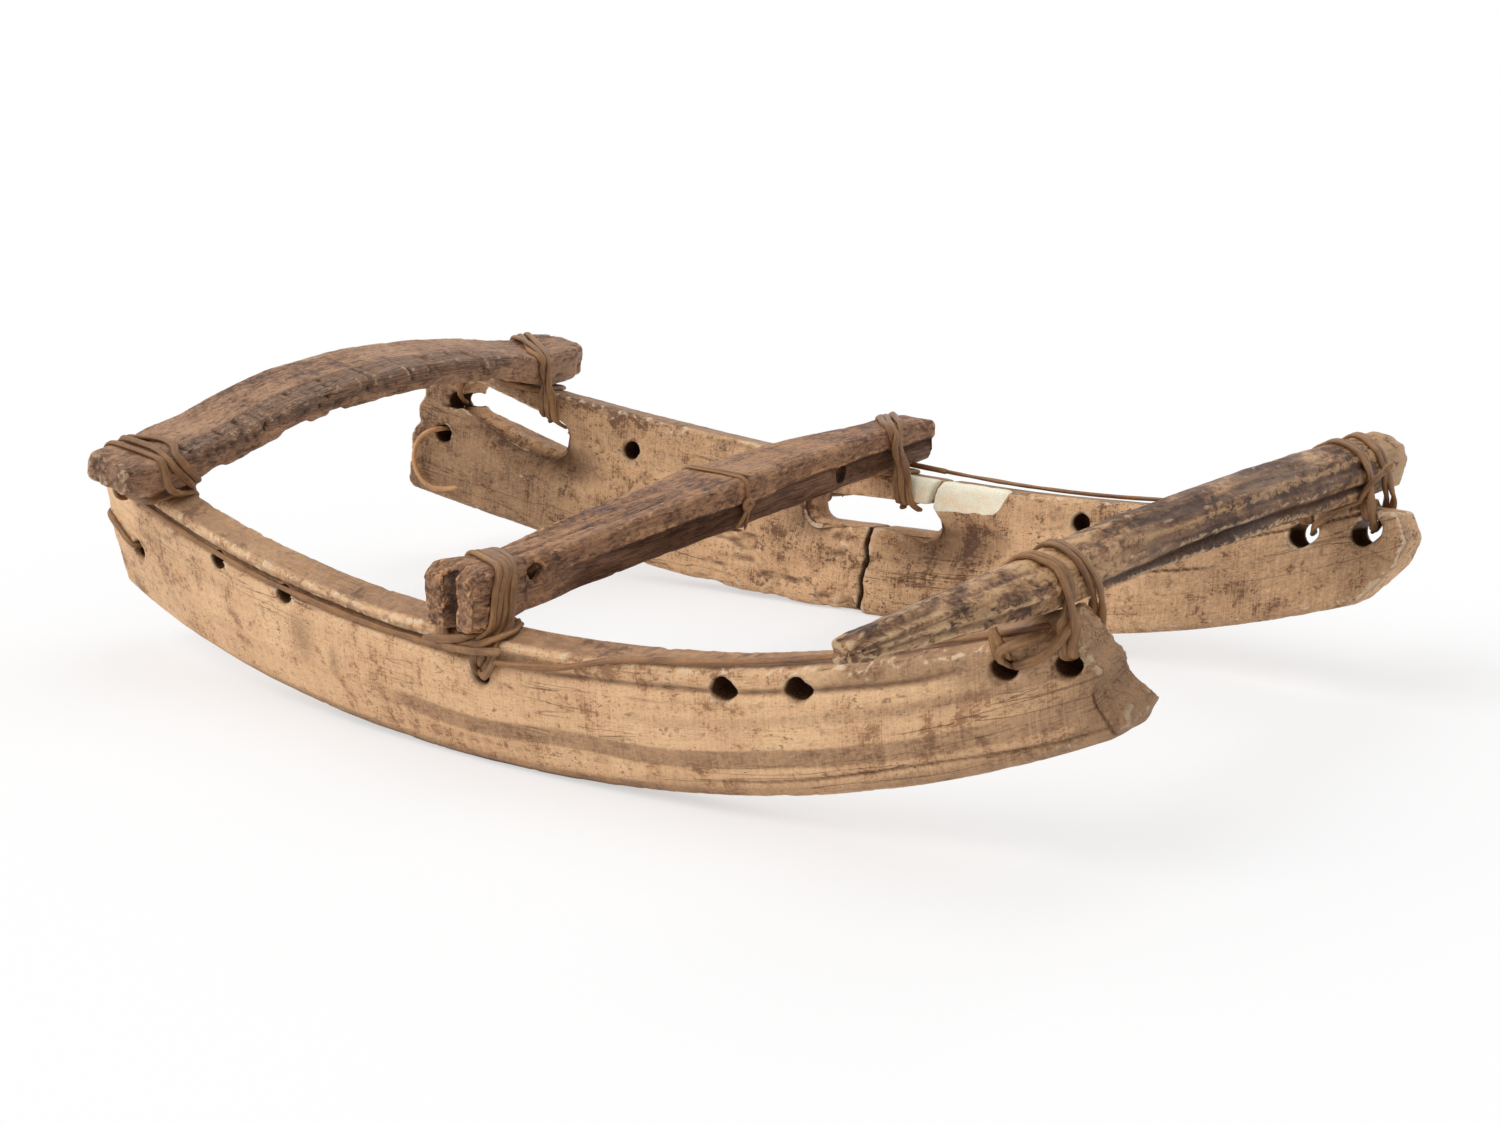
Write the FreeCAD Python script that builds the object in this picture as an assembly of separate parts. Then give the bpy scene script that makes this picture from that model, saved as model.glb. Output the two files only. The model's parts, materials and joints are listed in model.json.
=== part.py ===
import FreeCAD, Part
import math
import os

# Small hand sled: two curved bone runners standing on edge, three crosspieces laid over them, and hide
# thongs that lash each crosspiece to both runners. The left runner is broken in two at its middle slot.
# Millimetres. +X is the way the sled runs, +Y is its left side, +Z is up, and the ground is z = 0. Shapes are
# built about the middle plane of the two runners and moved sideways once, when they are written.

Vec = FreeCAD.Vector

# Driving dimensions
LENGTH = 500.0            # runner length, tip to tip
HALF = LENGTH / 2
THONG = 3.0               # thong diameter
HOLE_SLACK = 0.6          # room in a runner's hole round the four thongs that it has to pass
HOLE_RADIUS = round(THONG * (1 + math.sqrt(2)) / 2 + HOLE_SLACK, 1)
CLEARANCE = 0.3           # gap between pieces that rest on each other
CHAMFER = 2.0             # worn edge of the crosspieces

# Crosspieces, measured from the ends of the runners
REAR_SETBACK = 56.0
FRONT_SETBACK = 29.0
MIDDLE_X = 0.0


def lerp(a, b, t):
    return a + (b - a) * t


class Runner:
    """A curved plank on its edge. side is -1 for the right runner and +1 for the left one."""

    STATIONS = 19

    def __init__(self, side, half_track, toe, bow, rise, skew, tip_rise, height, height_slope,
                 height_crown, thickness, lean_deg, section):
        self.side = side
        self.half_track = half_track      # outer foot line to the middle plane, at mid length
        self.toe = toe                    # how much further out the front is than the rear, per half length
        self.bow = bow                    # how far each end turns in
        self.rise, self.skew, self.tip_rise = rise, skew, tip_rise      # rocker terms 2, 3 and 4
        self.height, self.height_slope, self.height_crown = height, height_slope, height_crown
        self.thickness = thickness
        self.lean = math.radians(lean_deg)      # top edge leans outward
        self.section = section

    def rocker(self, x):
        v = x / HALF
        return self.rise * v ** 2 + self.skew * v ** 3 + self.tip_rise * v ** 4

    def plank_height(self, x):
        v = x / HALF
        return self.height + self.height_slope * v + self.height_crown * v ** 2

    def point(self, x, depth, up):
        """depth is measured inward from the outer face, up along the leaning plank from its sole."""
        v = x / HALF
        y = self.half_track + self.toe * v - self.bow * v ** 2
        y += -depth * math.cos(self.lean) + up * math.sin(self.lean)
        z = self.rocker(x) + depth * math.sin(self.lean) + up * math.cos(self.lean)
        return Vec(x, self.side * y, z)

    def top(self, x, depth, above=0.0):
        return self.point(x, depth, self.plank_height(x) + above)

    def sole_up(self, depth):
        """The sole is worn level, so it is lower down the plank on the inner side."""
        return -depth * math.tan(self.lean)

    def inward(self):
        return Vec(0, -self.side * math.cos(self.lean), math.sin(self.lean))

    def cutter_point(self, x, up):
        """The point at (x, up), moved through the plank onto one plane well outside it."""
        p = self.point(x, 0, up)
        plane_offset = (p - Vec(0, self.side * 2 * self.half_track, 0)).dot(self.inward())
        return p - self.inward() * plane_offset

    def wire_at(self, x):
        return Part.makePolygon([self.point(x, d, u) for d, u in self.section(self, x)])

    def plank(self, x_rear, x_front):
        stations = [lerp(x_rear, x_front, i / (self.STATIONS - 1)) for i in range(self.STATIONS)]
        return Part.makeLoft([self.wire_at(x) for x in stations], True, False)

    def drill(self, x, up, radius=HOLE_RADIUS):
        start = self.point(x, -self.thickness, up)
        return Part.makeCylinder(radius, 3 * self.thickness, start, self.inward())

    def slot(self, x_rear, x_front, up_rear, up_front, width):
        """A long hole with round ends whose middle line runs from one end's centre to the other's."""
        radius = width / 2
        rear = self.cutter_point(x_rear + radius, up_rear)
        front = self.cutter_point(x_front - radius, up_front)
        along = (front - rear).normalize()
        across = along.cross(self.inward()).normalize() * radius
        rim = Part.Wire([
            Part.LineSegment(rear + across, front + across).toShape(),
            Part.Arc(front + across, front + along * radius, front - across).toShape(),
            Part.LineSegment(front - across, rear - across).toShape(),
            Part.Arc(rear - across, rear - along * radius, rear + across).toShape(),
        ])
        return Part.Face(rim).extrude(self.inward() * (2 * self.half_track))

    def side_cut(self, outline):
        """A prism through the plank's thickness from an outline of (x, up) corners."""
        corners = [self.cutter_point(x, up) for x, up in outline]
        face = Part.Face(Part.makePolygon(corners + corners[:1]))
        return face.extrude(self.inward() * (2 * self.half_track))


# Line groove along the outer face of the right runner, just under its top edge, from the rear to mid length
GROOVE_DEPTH = 2.8
GROOVE_WIDTH = 5.4
GROOVE_DROP = 5.0         # top edge to the groove's upper lip
GROOVE_RUNS_OUT = (0.0, 40.0)
RIM_DROP = 8.0            # the outer rim falls away by this much at the nose
RIM_FALLS = (185.0, 240.0)
CROWN = 1.6               # bulge of the outer face
SOLE_ROUND = 3.0


def ramp(x, start, end):
    return min(1.0, max(0.0, (x - start) / (end - start)))


def grooved_section(runner, x):
    t, top = runner.thickness, runner.plank_height(x)
    rim = top - RIM_DROP * ramp(x, *RIM_FALLS)
    groove = GROOVE_DEPTH * (1.0 - ramp(x, *GROOVE_RUNS_OUT))
    lip = rim - GROOVE_DROP
    low = lip - GROOVE_WIDTH
    points = [(SOLE_ROUND, runner.sole_up(SOLE_ROUND)), (t - SOLE_ROUND, runner.sole_up(t - SOLE_ROUND)),
              (t, runner.sole_up(t) + SOLE_ROUND), (t, top - 1.5), (t - 1.5, top), (2.0, rim), (0.3, rim - 1.4),
              (0.3, lip), (max(0.2, groove), lip - 0.8), (max(0.1, groove), low + 0.8), (0.0, low),
              (-CROWN, lerp(0, low, 0.5)), (0.0, SOLE_ROUND)]
    return points + points[:1]


def plain_section(runner, x):
    t, top = runner.thickness, runner.plank_height(x)
    points = [(SOLE_ROUND, runner.sole_up(SOLE_ROUND)), (t - SOLE_ROUND, runner.sole_up(t - SOLE_ROUND)),
              (t, runner.sole_up(t) + SOLE_ROUND), (t, top - 1.5), (t - 1.5, top), (2.5, top), (0.0, top - 2.5),
              (-CROWN, top / 2), (0.0, SOLE_ROUND)]
    return points + points[:1]


RIGHT = Runner(-1, half_track=138.0, toe=2.4, bow=36.0, rise=30.0, skew=11.5, tip_rise=9.5, height=52.0,
               height_slope=-7.6, height_crown=3.1, thickness=17.0, lean_deg=11.0, section=grooved_section)
LEFT = Runner(1, half_track=135.7, toe=14.0, bow=20.0, rise=40.0, skew=8.0, tip_rise=2.0, height=64.0,
              height_slope=-13.5, height_crown=-14.0, thickness=18.0, lean_deg=8.0, section=plain_section)

# Ends of the runners
RIGHT_REAR_X = -HALF + 14.0
RIGHT_NOSE_SLANT = 22.0       # the nose reaches this much further at the sole than at the top
NOSE_BEVEL = 12.0             # outer corner taken off the nose
LEFT_NOSE_ROUND = 20.0        # corners cut off the left runner's nose
LEFT_REAR_SLANT = 5.0
LEFT_REAR_CUT = (25.0, 14.0)  # length and depth of the corner taken off the left runner's rear top

# Lashing holes, as (distance from the crosspiece's middle line, height up the plank)
REAR_X = -HALF + REAR_SETBACK
FRONT_X = HALF - FRONT_SETBACK
RIGHT_REAR_HOLE = (REAR_X - 19.0, 27.0)
RIGHT_MIDDLE_HOLE = (MIDDLE_X + 6.0, 37.0)
RIGHT_FRONT_HOLES = ((FRONT_X - 12.0, 36.0), (FRONT_X + 8.0, 31.0))
LEFT_FRONT_HOLES = ((FRONT_X - 16.0, 31.0), (FRONT_X + 11.0, 26.0))
OVAL_LENGTH = 13.0            # front holes of the left runner, worn long by the thongs
OVAL_WIDTH = 9.5

# Holes that stand free, for a hauling line
RIGHT_LINE_HOLES = ((111.0, 41.5), (139.0, 40.5))
RIGHT_SMALL_HOLES = ((-147.0, 46.0), (-103.0, 44.5))
LEFT_LINE_HOLES = ((-131.0, 50.0), (102.0, 46.0))
LEFT_REAR_HOLES = ((-HALF + 17.0, 30.0), (-HALF + 23.0, 48.0))
SMALL_HOLE_RADIUS = 2.6

# Slots of the left runner
REAR_SLOT = dict(x_rear=REAR_X - 30.0, x_front=REAR_X + 27.0, up_rear=52.0, up_front=46.5, width=15.0)
MIDDLE_SLOT = dict(x_rear=MIDDLE_X - 36.0, x_front=MIDDLE_X + 31.0, up_rear=44.0, up_front=44.5, width=13.0)

# Break through the left runner: below the slot, and across the bridge above it
BREAK_LOW = ((-1.0, 40.0), (-4.0, 30.0), (-2.5, 24.0), (-5.0, 14.0), (-4.0, 8.0), (-7.0, -8.0))
BREAK_HIGH = ((28.0, 80.0), (29.5, 62.0), (26.5, 57.0), (25.0, 48.0))
BREAK_GAP_LOW = 0.5
BREAK_GAP_HIGH = 2.6


def make_right_runner():
    body = RIGHT.plank(RIGHT_REAR_X, HALF)
    top = RIGHT.plank_height(HALF)
    nose = RIGHT.side_cut([(HALF - RIGHT_NOSE_SLANT, top + 20), (HALF - RIGHT_NOSE_SLANT, top),
                           (HALF, 4.0), (HALF + 20, 4.0), (HALF + 20, top + 20)])
    bevel_corners = [RIGHT.point(HALF - NOSE_BEVEL, -20, -30), RIGHT.point(HALF + 3, RIGHT.thickness - 5, -30),
                     RIGHT.point(HALF + 30, -20, -30)]
    lift = RIGHT.point(0, 0, 130) - RIGHT.point(0, 0, 0)
    bevel = Part.Face(Part.makePolygon(bevel_corners + bevel_corners[:1])).extrude(lift)
    body = body.cut(nose).cut(bevel)
    for x, up in [RIGHT_REAR_HOLE, RIGHT_MIDDLE_HOLE, *RIGHT_FRONT_HOLES, *RIGHT_LINE_HOLES]:
        body = body.cut(RIGHT.drill(x, up))
    for x, up in RIGHT_SMALL_HOLES:
        body = body.cut(RIGHT.drill(x, up, SMALL_HOLE_RADIUS))
    return body


def break_prism(gap_low, gap_high):
    """The region in front of the break, set back from it by the gap."""
    high = [(x + gap_high, up) for x, up in BREAK_HIGH]
    low = [(x + gap_low, up) for x, up in BREAK_LOW]
    far = HALF + 40
    return LEFT.side_cut([(far, 80.0), *high, *low, (far, -60.0)])


def make_left_runner():
    body = LEFT.plank(-HALF, HALF)
    top = LEFT.plank_height(HALF)
    r = LEFT_NOSE_ROUND
    nose = [LEFT.side_cut([(HALF - r, top + 20), (HALF - r, top), (HALF - 0.3 * r, top - 0.3 * r),
                           (HALF, top - r), (HALF + 20, top - r), (HALF + 20, top + 20)]),
            LEFT.side_cut([(HALF - 1.2 * r, -30), (HALF - 1.2 * r, -5), (HALF - 0.2 * r, 0.5 * r),
                           (HALF, 1.1 * r), (HALF + 20, 1.1 * r), (HALF + 20, -30)])]
    rear_top = LEFT.plank_height(-HALF)
    cut_length, cut_depth = LEFT_REAR_CUT
    corner = LEFT.side_cut([(-HALF - 20, rear_top + 20), (-HALF + cut_length, rear_top + 20),
                            (-HALF + cut_length, rear_top), (-HALF + LEFT_REAR_SLANT, rear_top - cut_depth),
                            (-HALF, 0.4 * rear_top), (-HALF - 20, 0.4 * rear_top)])
    for cutter in [*nose, corner]:
        body = body.cut(cutter)
    body = body.cut(LEFT.slot(**REAR_SLOT)).cut(LEFT.slot(**MIDDLE_SLOT))
    for x, up in [*LEFT_REAR_HOLES, *LEFT_LINE_HOLES]:
        body = body.cut(LEFT.drill(x, up))
    for x, up in LEFT_FRONT_HOLES:
        body = body.cut(LEFT.slot(x - OVAL_LENGTH / 2, x + OVAL_LENGTH / 2, up, up + 1.5, OVAL_WIDTH))
    rear = body.cut(break_prism(0.0, 0.0))
    front = body.common(break_prism(BREAK_GAP_LOW, BREAK_GAP_HIGH))
    return rear, front


# Places along a crosspiece are given from one of these
RIGHT_SEAT, BETWEEN, LEFT_SEAT = 0.0, 0.5, 1.0


class Crosspiece:
    """A bar along Y that sits on the top edges of both runners at one x, twisted to their slopes there.

    stations are (anchor, offset, width, depth, lift). The place along the bar is the anchor's y plus offset,
    and lift raises the underside over the line between the two seats.
    shoulder is the way a thong takes up one face: shares of the half width and of the depth, and the
    direction in which it stands off there."""

    def __init__(self, x, stations, outline, shoulder):
        self.x = x
        self.outline = outline
        self.shoulder = shoulder
        step = 5.0
        self.seats = [r.top(x, r.thickness) for r in (RIGHT, LEFT)]
        self.stations = [(self.place(anchor, offset), *sizes) for anchor, offset, *sizes in stations]
        self.rolls = [math.atan((r.top(x + step, 0).z - r.top(x - step, 0).z) / (2 * step))
                      for r in (RIGHT, LEFT)]

    def place(self, anchor, offset):
        """y of a point given from the right seat, the left seat or the middle between them."""
        right, left = self.seats
        return lerp(right.y, left.y, anchor) + offset

    def frame(self, y):
        """Origin on the seat line at y, the direction across the bar and the direction up."""
        right, left = self.seats
        t = (y - right.y) / (left.y - right.y)
        roll = lerp(*self.rolls, min(1.0, max(0.0, t)))
        z = lerp(right.z, left.z, t) + CLEARANCE
        across = Vec(math.cos(roll), 0, math.sin(roll))
        up = Vec(-math.sin(roll), 0, math.cos(roll))
        return Vec(self.x, y, z), across, up

    def at(self, y):
        """Width, depth and lift at y, between the stations."""
        for (ya, *a), (yb, *b) in zip(self.stations, self.stations[1:]):
            if ya <= y <= yb:
                return [lerp(p, q, (y - ya) / (yb - ya)) for p, q in zip(a, b)]
        raise ValueError("outside the crosspiece")

    def point(self, y, side, height):
        """side is -1 at the rear face and +1 at the front face, height 0 at the underside and 1 on top."""
        width, depth, lift = self.at(y)
        origin, across, up = self.frame(y)
        return origin + across * (side * width / 2) + up * (lift + height * depth)

    def body(self):
        wires = []
        for y, width, depth, lift in self.stations:
            origin, across, up = self.frame(y)
            corners = [origin + across * a + up * (lift + b) for a, b in self.outline(width, depth)]
            wires.append(Part.makePolygon(corners + corners[:1]))
        return Part.makeLoft(wires, True, True)


def plank_outline(width, depth):
    w, c = width / 2, CHAMFER
    return [(-w + c, 0), (w - c, 0), (w, c), (w, depth - c),
            (w - c, depth), (-w + c, depth), (-w, depth - c), (-w, c)]


def antler_outline(width, depth):
    """Round on top, flat below."""
    w, base = width / 2, 0.35 * depth
    arch = [(w * math.cos(a), base + (depth - base) * math.sin(a))
            for a in (math.radians(d) for d in range(0, 181, 30))]
    return [(-0.7 * w, 0), (0.7 * w, 0), *arch]


SQUARE_SHOULDER = ((1.0, 0.0, 1.0, 1.0), (1.0, 1.0, 1.0, 1.0))
ROUND_SHOULDER = ((0.95, 0.1, 1.0, 0.0), (1.0, 0.45, 1.0, 0.1), (0.72, 0.86, 0.8, 0.85), (0.3, 1.0, 0.1, 1.0))

REAR = Crosspiece(REAR_X, [
    (RIGHT_SEAT, -39, 24, 12, 5), (RIGHT_SEAT, -31, 27, 15, 2), (RIGHT_SEAT, -5, 31, 17, 0),
    (RIGHT_SEAT, 11, 33, 14, 6.5), (BETWEEN, -58, 36, 13, 18), (BETWEEN, 2, 38, 12, 20.5),
    (BETWEEN, 62, 37, 12, 15), (LEFT_SEAT, -8, 35, 14, 5), (LEFT_SEAT, 6, 33, 16, 0.5),
    (LEFT_SEAT, 24, 30, 17, 0), (LEFT_SEAT, 34, 23, 16, 0),
], plank_outline, SQUARE_SHOULDER)
MIDDLE = Crosspiece(MIDDLE_X, [
    (RIGHT_SEAT, -24, 24, 20, 1), (RIGHT_SEAT, -17, 28, 24, 0), (RIGHT_SEAT, -9, 24, 23, 0),
    (RIGHT_SEAT, 9, 19, 21, 0.5), (BETWEEN, -68, 28, 21, 2), (BETWEEN, 2, 31, 22, 3), (BETWEEN, 72, 27, 22, 2),
    (LEFT_SEAT, -9, 17, 21, 0.5), (LEFT_SEAT, 19, 19, 20, 0), (LEFT_SEAT, 30, 20, 18, 0),
], plank_outline, SQUARE_SHOULDER)
FRONT = Crosspiece(FRONT_X, [
    (RIGHT_SEAT, -123, 7, 7, 6), (RIGHT_SEAT, -113, 11, 10, 4.5), (RIGHT_SEAT, -76, 15, 14, 2.5),
    (RIGHT_SEAT, -22, 19, 18, 0), (RIGHT_SEAT, 4, 21, 20, 0), (BETWEEN, -68, 23, 21.5, 1), (BETWEEN, 32, 24, 23, 1),
    (LEFT_SEAT, -10, 24, 23.5, 0), (LEFT_SEAT, 38, 23, 23, 0), (LEFT_SEAT, 50, 17, 16, 4),
], antler_outline, ROUND_SHOULDER)

# Features of the middle crosspiece
END_NOTCH_WIDTH = 5.0
END_NOTCH_DEPTH = 7.0
PEG_HOLE_RADIUS = 3.2
PEG_HOLES = ((RIGHT_SEAT, 13.0, 0.7), (LEFT_SEAT, -48.0, 0.4))    # place, and height as a share of the depth


def make_middle_crosspiece():
    body = MIDDLE.body()
    y_end = MIDDLE.stations[0][0]
    origin, across, up = MIDDLE.frame(y_end)
    w = END_NOTCH_WIDTH / 2
    corners = [origin + across * -w - Vec(0, 2, 0), origin + across * w - Vec(0, 2, 0),
               origin + Vec(0, END_NOTCH_DEPTH, 0)]
    corners = [c - up * 10 for c in corners]
    body = body.cut(Part.Face(Part.makePolygon(corners + corners[:1])).extrude(up * 60))
    for anchor, offset, share in PEG_HOLES:
        y = MIDDLE.place(anchor, offset)
        width, depth, lift = MIDDLE.at(y)
        origin, across, up = MIDDLE.frame(y)
        centre = origin + up * (lift + share * depth)
        start = centre - across * (1.5 * width)
        body = body.cut(Part.makeCylinder(PEG_HOLE_RADIUS, 3 * width, start, across))
    return body


# Thongs
LINE = 2.4                # thinner line along the runners' edges
BEND = 4.0                # tightest bend of a thong that is pulled down
OFF = THONG / 2 + CLEARANCE
LAY = THONG + 0.2         # pitch of strands laid side by side


def rounded_path(points, bend):
    """Straight runs joined by tangent arcs. Returns the wire and its length."""
    edges = []
    start = points[0]
    for before, corner, after in zip(points, points[1:], points[2:]):
        a, b = (corner - before), (after - corner)
        turn = a.getAngle(b)
        if turn < 0.02:
            continue
        shorter = min(a.Length, b.Length)
        radius = min(bend, 0.45 * shorter / math.tan(turn / 2))
        cut = radius * math.tan(turn / 2)
        a, b = a.normalize(), b.normalize()
        p, q = corner - a * cut, corner + b * cut
        middle = corner + (b - a).normalize() * (radius / math.cos(turn / 2) - radius)
        edges.append(Part.LineSegment(start, p).toShape())
        edges.append(Part.Arc(p, middle, q).toShape())
        start = q
    edges.append(Part.LineSegment(start, points[-1]).toShape())
    wire = Part.Wire(edges)
    return wire, wire.Length


def thong(points, diameter=THONG, bend=BEND):
    wire, length = rounded_path(points, bend)
    ring = Part.Wire(Part.makeCircle(diameter / 2, points[0], points[1] - points[0]))
    tube = wire.makePipeShell([ring], True, False)
    print("   thong %.1f mm dia, length %.0f mm, volume / section x length %.3f" % (
        diameter, length, tube.Volume / (math.pi * diameter ** 2 / 4 * length)))
    return tube


def over_bar(bar, y_from, y_to, from_side):
    """Up one face of the bar, across its top and down the other face."""
    points = []
    for y, side in ((y_from, from_side), (y_to, -from_side)):
        _, across, up = bar.frame(y)
        leg = [bar.point(y, side * share, height) + across * (side * OFF * out) + up * (OFF * rise)
               for share, height, out, rise in bar.shoulder]
        points += leg if side == from_side else leg[::-1]
    return points


def face_point(runner, outer, x, up, off=OFF):
    """A strand's middle line where it lies on the outer or the inner face of a runner."""
    return runner.point(x, -(CROWN + off) if outer else runner.thickness + off, up)


def rim_point(runner, outer, x):
    return runner.top(x, -OFF if outer else runner.thickness + OFF, 0.5)


def in_hole(hole, place, places=4):
    """Place of one strand in a round hole filled by up to four, as (x, up)."""
    spread = (HOLE_RADIUS - THONG / 2 - 0.4)
    angle = math.radians(45 + 360 * place / places)
    return hole[0] + spread * math.cos(angle), hole[1] + spread * math.sin(angle)


def diagonal_lashing(runner, bar, ways, outer_side, outer_ys, inner_ys, fan=LAY, tucked=False):
    """Turns that come out of the runner at its outer face, go up one side of the bar (outer_side), cross its
    top to the other side and go down the inner face. ways lists (x, up) of the passes through the runner.
    With tucked the thong's own ends stop under the bar and leave room in the hole."""
    points = [runner.point(ways[0][0], runner.thickness / 2, ways[0][1])]
    for turn, (y_out, y_in) in enumerate(zip(outer_ys, inner_ys)):
        way, next_way = ways[turn], ways[turn + 1]
        bar_points = over_bar(bar, y_out, y_in, outer_side)
        out_x = bar_points[0].x + outer_side * fan * turn * 0.6
        in_x = bar_points[-1].x - outer_side * fan * turn * 0.6
        points += [face_point(runner, True, *way), rim_point(runner, True, out_x), *bar_points,
                   rim_point(runner, False, in_x), face_point(runner, False, *next_way)]
    points.append(runner.point(ways[-1][0], runner.thickness / 2, ways[-1][1]))
    return thong(points[2:-2] if tucked else points, bend=2.2)


def saddle_lashing(runner, bar, rear_ways, front_ways, outer_ys, inner_ys, slant=0.0, inner_slant=0.0):
    """Turns through two holes: over the bar outside the runner, back over it inside the runner. The slants
    are how much nearer the runner's middle the strands lie at the front of the bar than at its rear."""
    points = [runner.point(front_ways[0][0], runner.thickness / 2, front_ways[0][1])]
    for turn, (y_out, y_in) in enumerate(zip(outer_ys, inner_ys)):
        front_out, rear_way, front_in = front_ways[turn], rear_ways[turn], front_ways[turn + 1]
        y_front = y_out - runner.side * slant
        over = over_bar(bar, y_front, y_out, 1)
        points += [face_point(runner, True, *front_out), rim_point(runner, True, over[0].x + LAY * turn), *over,
                   face_point(runner, True, *rear_way), face_point(runner, False, *rear_way),
                   *over_bar(bar, y_in, y_in + runner.side * inner_slant, -1),
                   rim_point(runner, False, over[0].x + LAY * turn), face_point(runner, False, *front_in)]
    points.append(runner.point(front_ways[-1][0], runner.thickness / 2, front_ways[-1][1]))
    return thong(points, bend=2.2)


def edge_y(runner, x, outer, beyond):
    """y of a strand that hangs clear of the runner's top edge by beyond."""
    return runner.top(x, -beyond if outer else runner.thickness + beyond).y


def ys(runner, x, outer, *beyonds):
    return [edge_y(runner, x, outer, b) for b in beyonds]


def make_rear_right_lashing():
    ways = [in_hole(RIGHT_REAR_HOLE, k) for k in (0, 0, 3, 3)]
    outer = ys(RIGHT, REAR_X, True, 3.0, 3.0 + LAY, 3.0 + 2 * LAY)
    inner = ys(RIGHT, REAR_X, False, 5.0, 5.0 - LAY, 5.0 - 2 * LAY)
    return diagonal_lashing(RIGHT, REAR, ways, -1, outer, inner, tucked=True)


def make_middle_right_lashing():
    ways = [in_hole(RIGHT_MIDDLE_HOLE, k) for k in range(4)]
    outer = ys(RIGHT, MIDDLE_X, True, -3.0, -3.0 - LAY, -3.0 - 2 * LAY)
    inner = ys(RIGHT, MIDDLE_X, False, 2.0, 2.0 + LAY, 2.0 + 2 * LAY)
    return diagonal_lashing(RIGHT, MIDDLE, ways, 1, outer, inner)


def make_rear_left_lashing():
    ways = [(REAR_X + 10.0 + LAY * k, 48.0) for k in range(4)]
    outer = ys(LEFT, REAR_X, True, 3.0, 3.0 + LAY, 3.0 + 2 * LAY)
    inner = ys(LEFT, REAR_X, False, 8.0, 8.0 - LAY, 8.0 - 2 * LAY)
    return diagonal_lashing(LEFT, REAR, ways, -1, outer, inner)


def make_middle_left_lashing():
    ways = [(MIDDLE_X + 6.0 + LAY * k, 46.0) for k in range(4)]
    outer = ys(LEFT, MIDDLE_X, True, 2.0, 2.0 + LAY, 2.0 + 2 * LAY)
    inner = ys(LEFT, MIDDLE_X, False, 8.0, 8.0 - LAY, 8.0 - 2 * LAY)
    return diagonal_lashing(LEFT, MIDDLE, ways, -1, outer, inner)


def make_front_right_lashing():
    rear, front = ([in_hole(h, k) for k in range(4)] for h in RIGHT_FRONT_HOLES)
    outer = ys(RIGHT, FRONT_X, True, 2.5, 2.5 + LAY)
    inner = ys(RIGHT, FRONT_X, False, 2.5, 2.5 + LAY)
    return saddle_lashing(RIGHT, FRONT, rear, front, outer, inner, slant=11.0, inner_slant=4.0)


def make_front_left_lashing():
    rear, front = ([in_hole(h, k) for k in range(4)] for h in LEFT_FRONT_HOLES)
    outer = ys(LEFT, FRONT_X, True, 2.5, 2.5 + LAY)
    inner = ys(LEFT, FRONT_X, False, 2.5, 2.5 + LAY)
    return saddle_lashing(LEFT, FRONT, rear, front, outer, inner, slant=8.0, inner_slant=4.0)


# Frapping turns, loops and lines
STAND = OFF + LAY + 0.7   # a frapping turn lies on top of the strands it draws together
FAN = OFF + 2.2 * LAY     # how far the strands spread from the bar where they reach the runner's edge
SPLICE_SETBACK = 14.0     # the splice's last turn behind the middle lashing's spread, from the bar's middle line
BINDING = 1.8             # thin thong round the middle crosspiece
HANGING = 2.4             # thong that hangs loose from the left runner


def frapping(runner, bar_rear, bar_front, turns=2, low=-4.0):
    """Turns round all the strands at one seat. They cross the runner's top edge behind the bar and in
    front of it, and run along both its faces just under the bar."""
    t = runner.thickness
    points = []
    for turn in range(turns):
        reach = FAN + LAY * turn
        rear, front = bar_rear - reach, bar_front + reach
        drop = low - LAY * turn
        points += [runner.top(rear, -STAND, drop), runner.top(front, -STAND, drop),
                   runner.top(front, -0.5, OFF), runner.top(front, t + 0.5, OFF),
                   runner.top(front, t + STAND, drop), runner.top(rear, t + STAND, drop),
                   runner.top(rear, t + 0.5, OFF), runner.top(rear + LAY, -0.5, OFF)]
    return thong(points, bend=2.5)


def bar_frapping(runner, bar, turns=2, low=-4.0):
    width, _, _ = bar.at(runner.top(bar.x, runner.thickness / 2).y)
    return frapping(runner, bar.x - width / 2, bar.x + width / 2, turns, low)


def make_splice():
    """Turns round the bridge above the left runner's middle slot, beside its break."""
    t = LEFT.thickness
    slot_up = MIDDLE_SLOT["up_rear"] + MIDDLE_SLOT["width"] / 2 - OFF
    points = []
    for turn in range(3):
        x = MIDDLE_X - FAN - SPLICE_SETBACK - (LAY + 0.4) * (2 - turn)
        points += [LEFT.point(x, -CROWN - OFF, slot_up), LEFT.top(x, -OFF, OFF), LEFT.top(x, t + OFF, OFF),
                   LEFT.point(x, t + OFF, slot_up)]
    return thong(points, bend=2.0)


def make_end_loop():
    """A turn from the right runner's rear hole round its rear end."""
    x, up = in_hole(RIGHT_REAR_HOLE, 2)
    t = RIGHT.thickness
    end = RIGHT_REAR_X - OFF
    points = [RIGHT.point(x, t / 2, up), face_point(RIGHT, True, x, up, STAND), RIGHT.point(end, -CROWN - OFF, up + 9.0),
              RIGHT.point(end, t + OFF, up + 9.0), face_point(RIGHT, False, x, up), RIGHT.point(x, t / 2 + 0.5, up)]
    return thong(points, bend=2.2)


def make_right_edge_line():
    depth = GROOVE_DEPTH - LINE / 2 - 0.25
    drop = -(GROOVE_DROP + GROOVE_WIDTH / 2)
    steps = 10
    xs = [lerp(RIGHT_REAR_X + 5.0, MIDDLE_X - 2.0, i / steps) for i in range(steps + 1)]
    return thong([RIGHT.point(x, depth, RIGHT.plank_height(x) + drop) for x in xs], LINE, 60.0)


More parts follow.
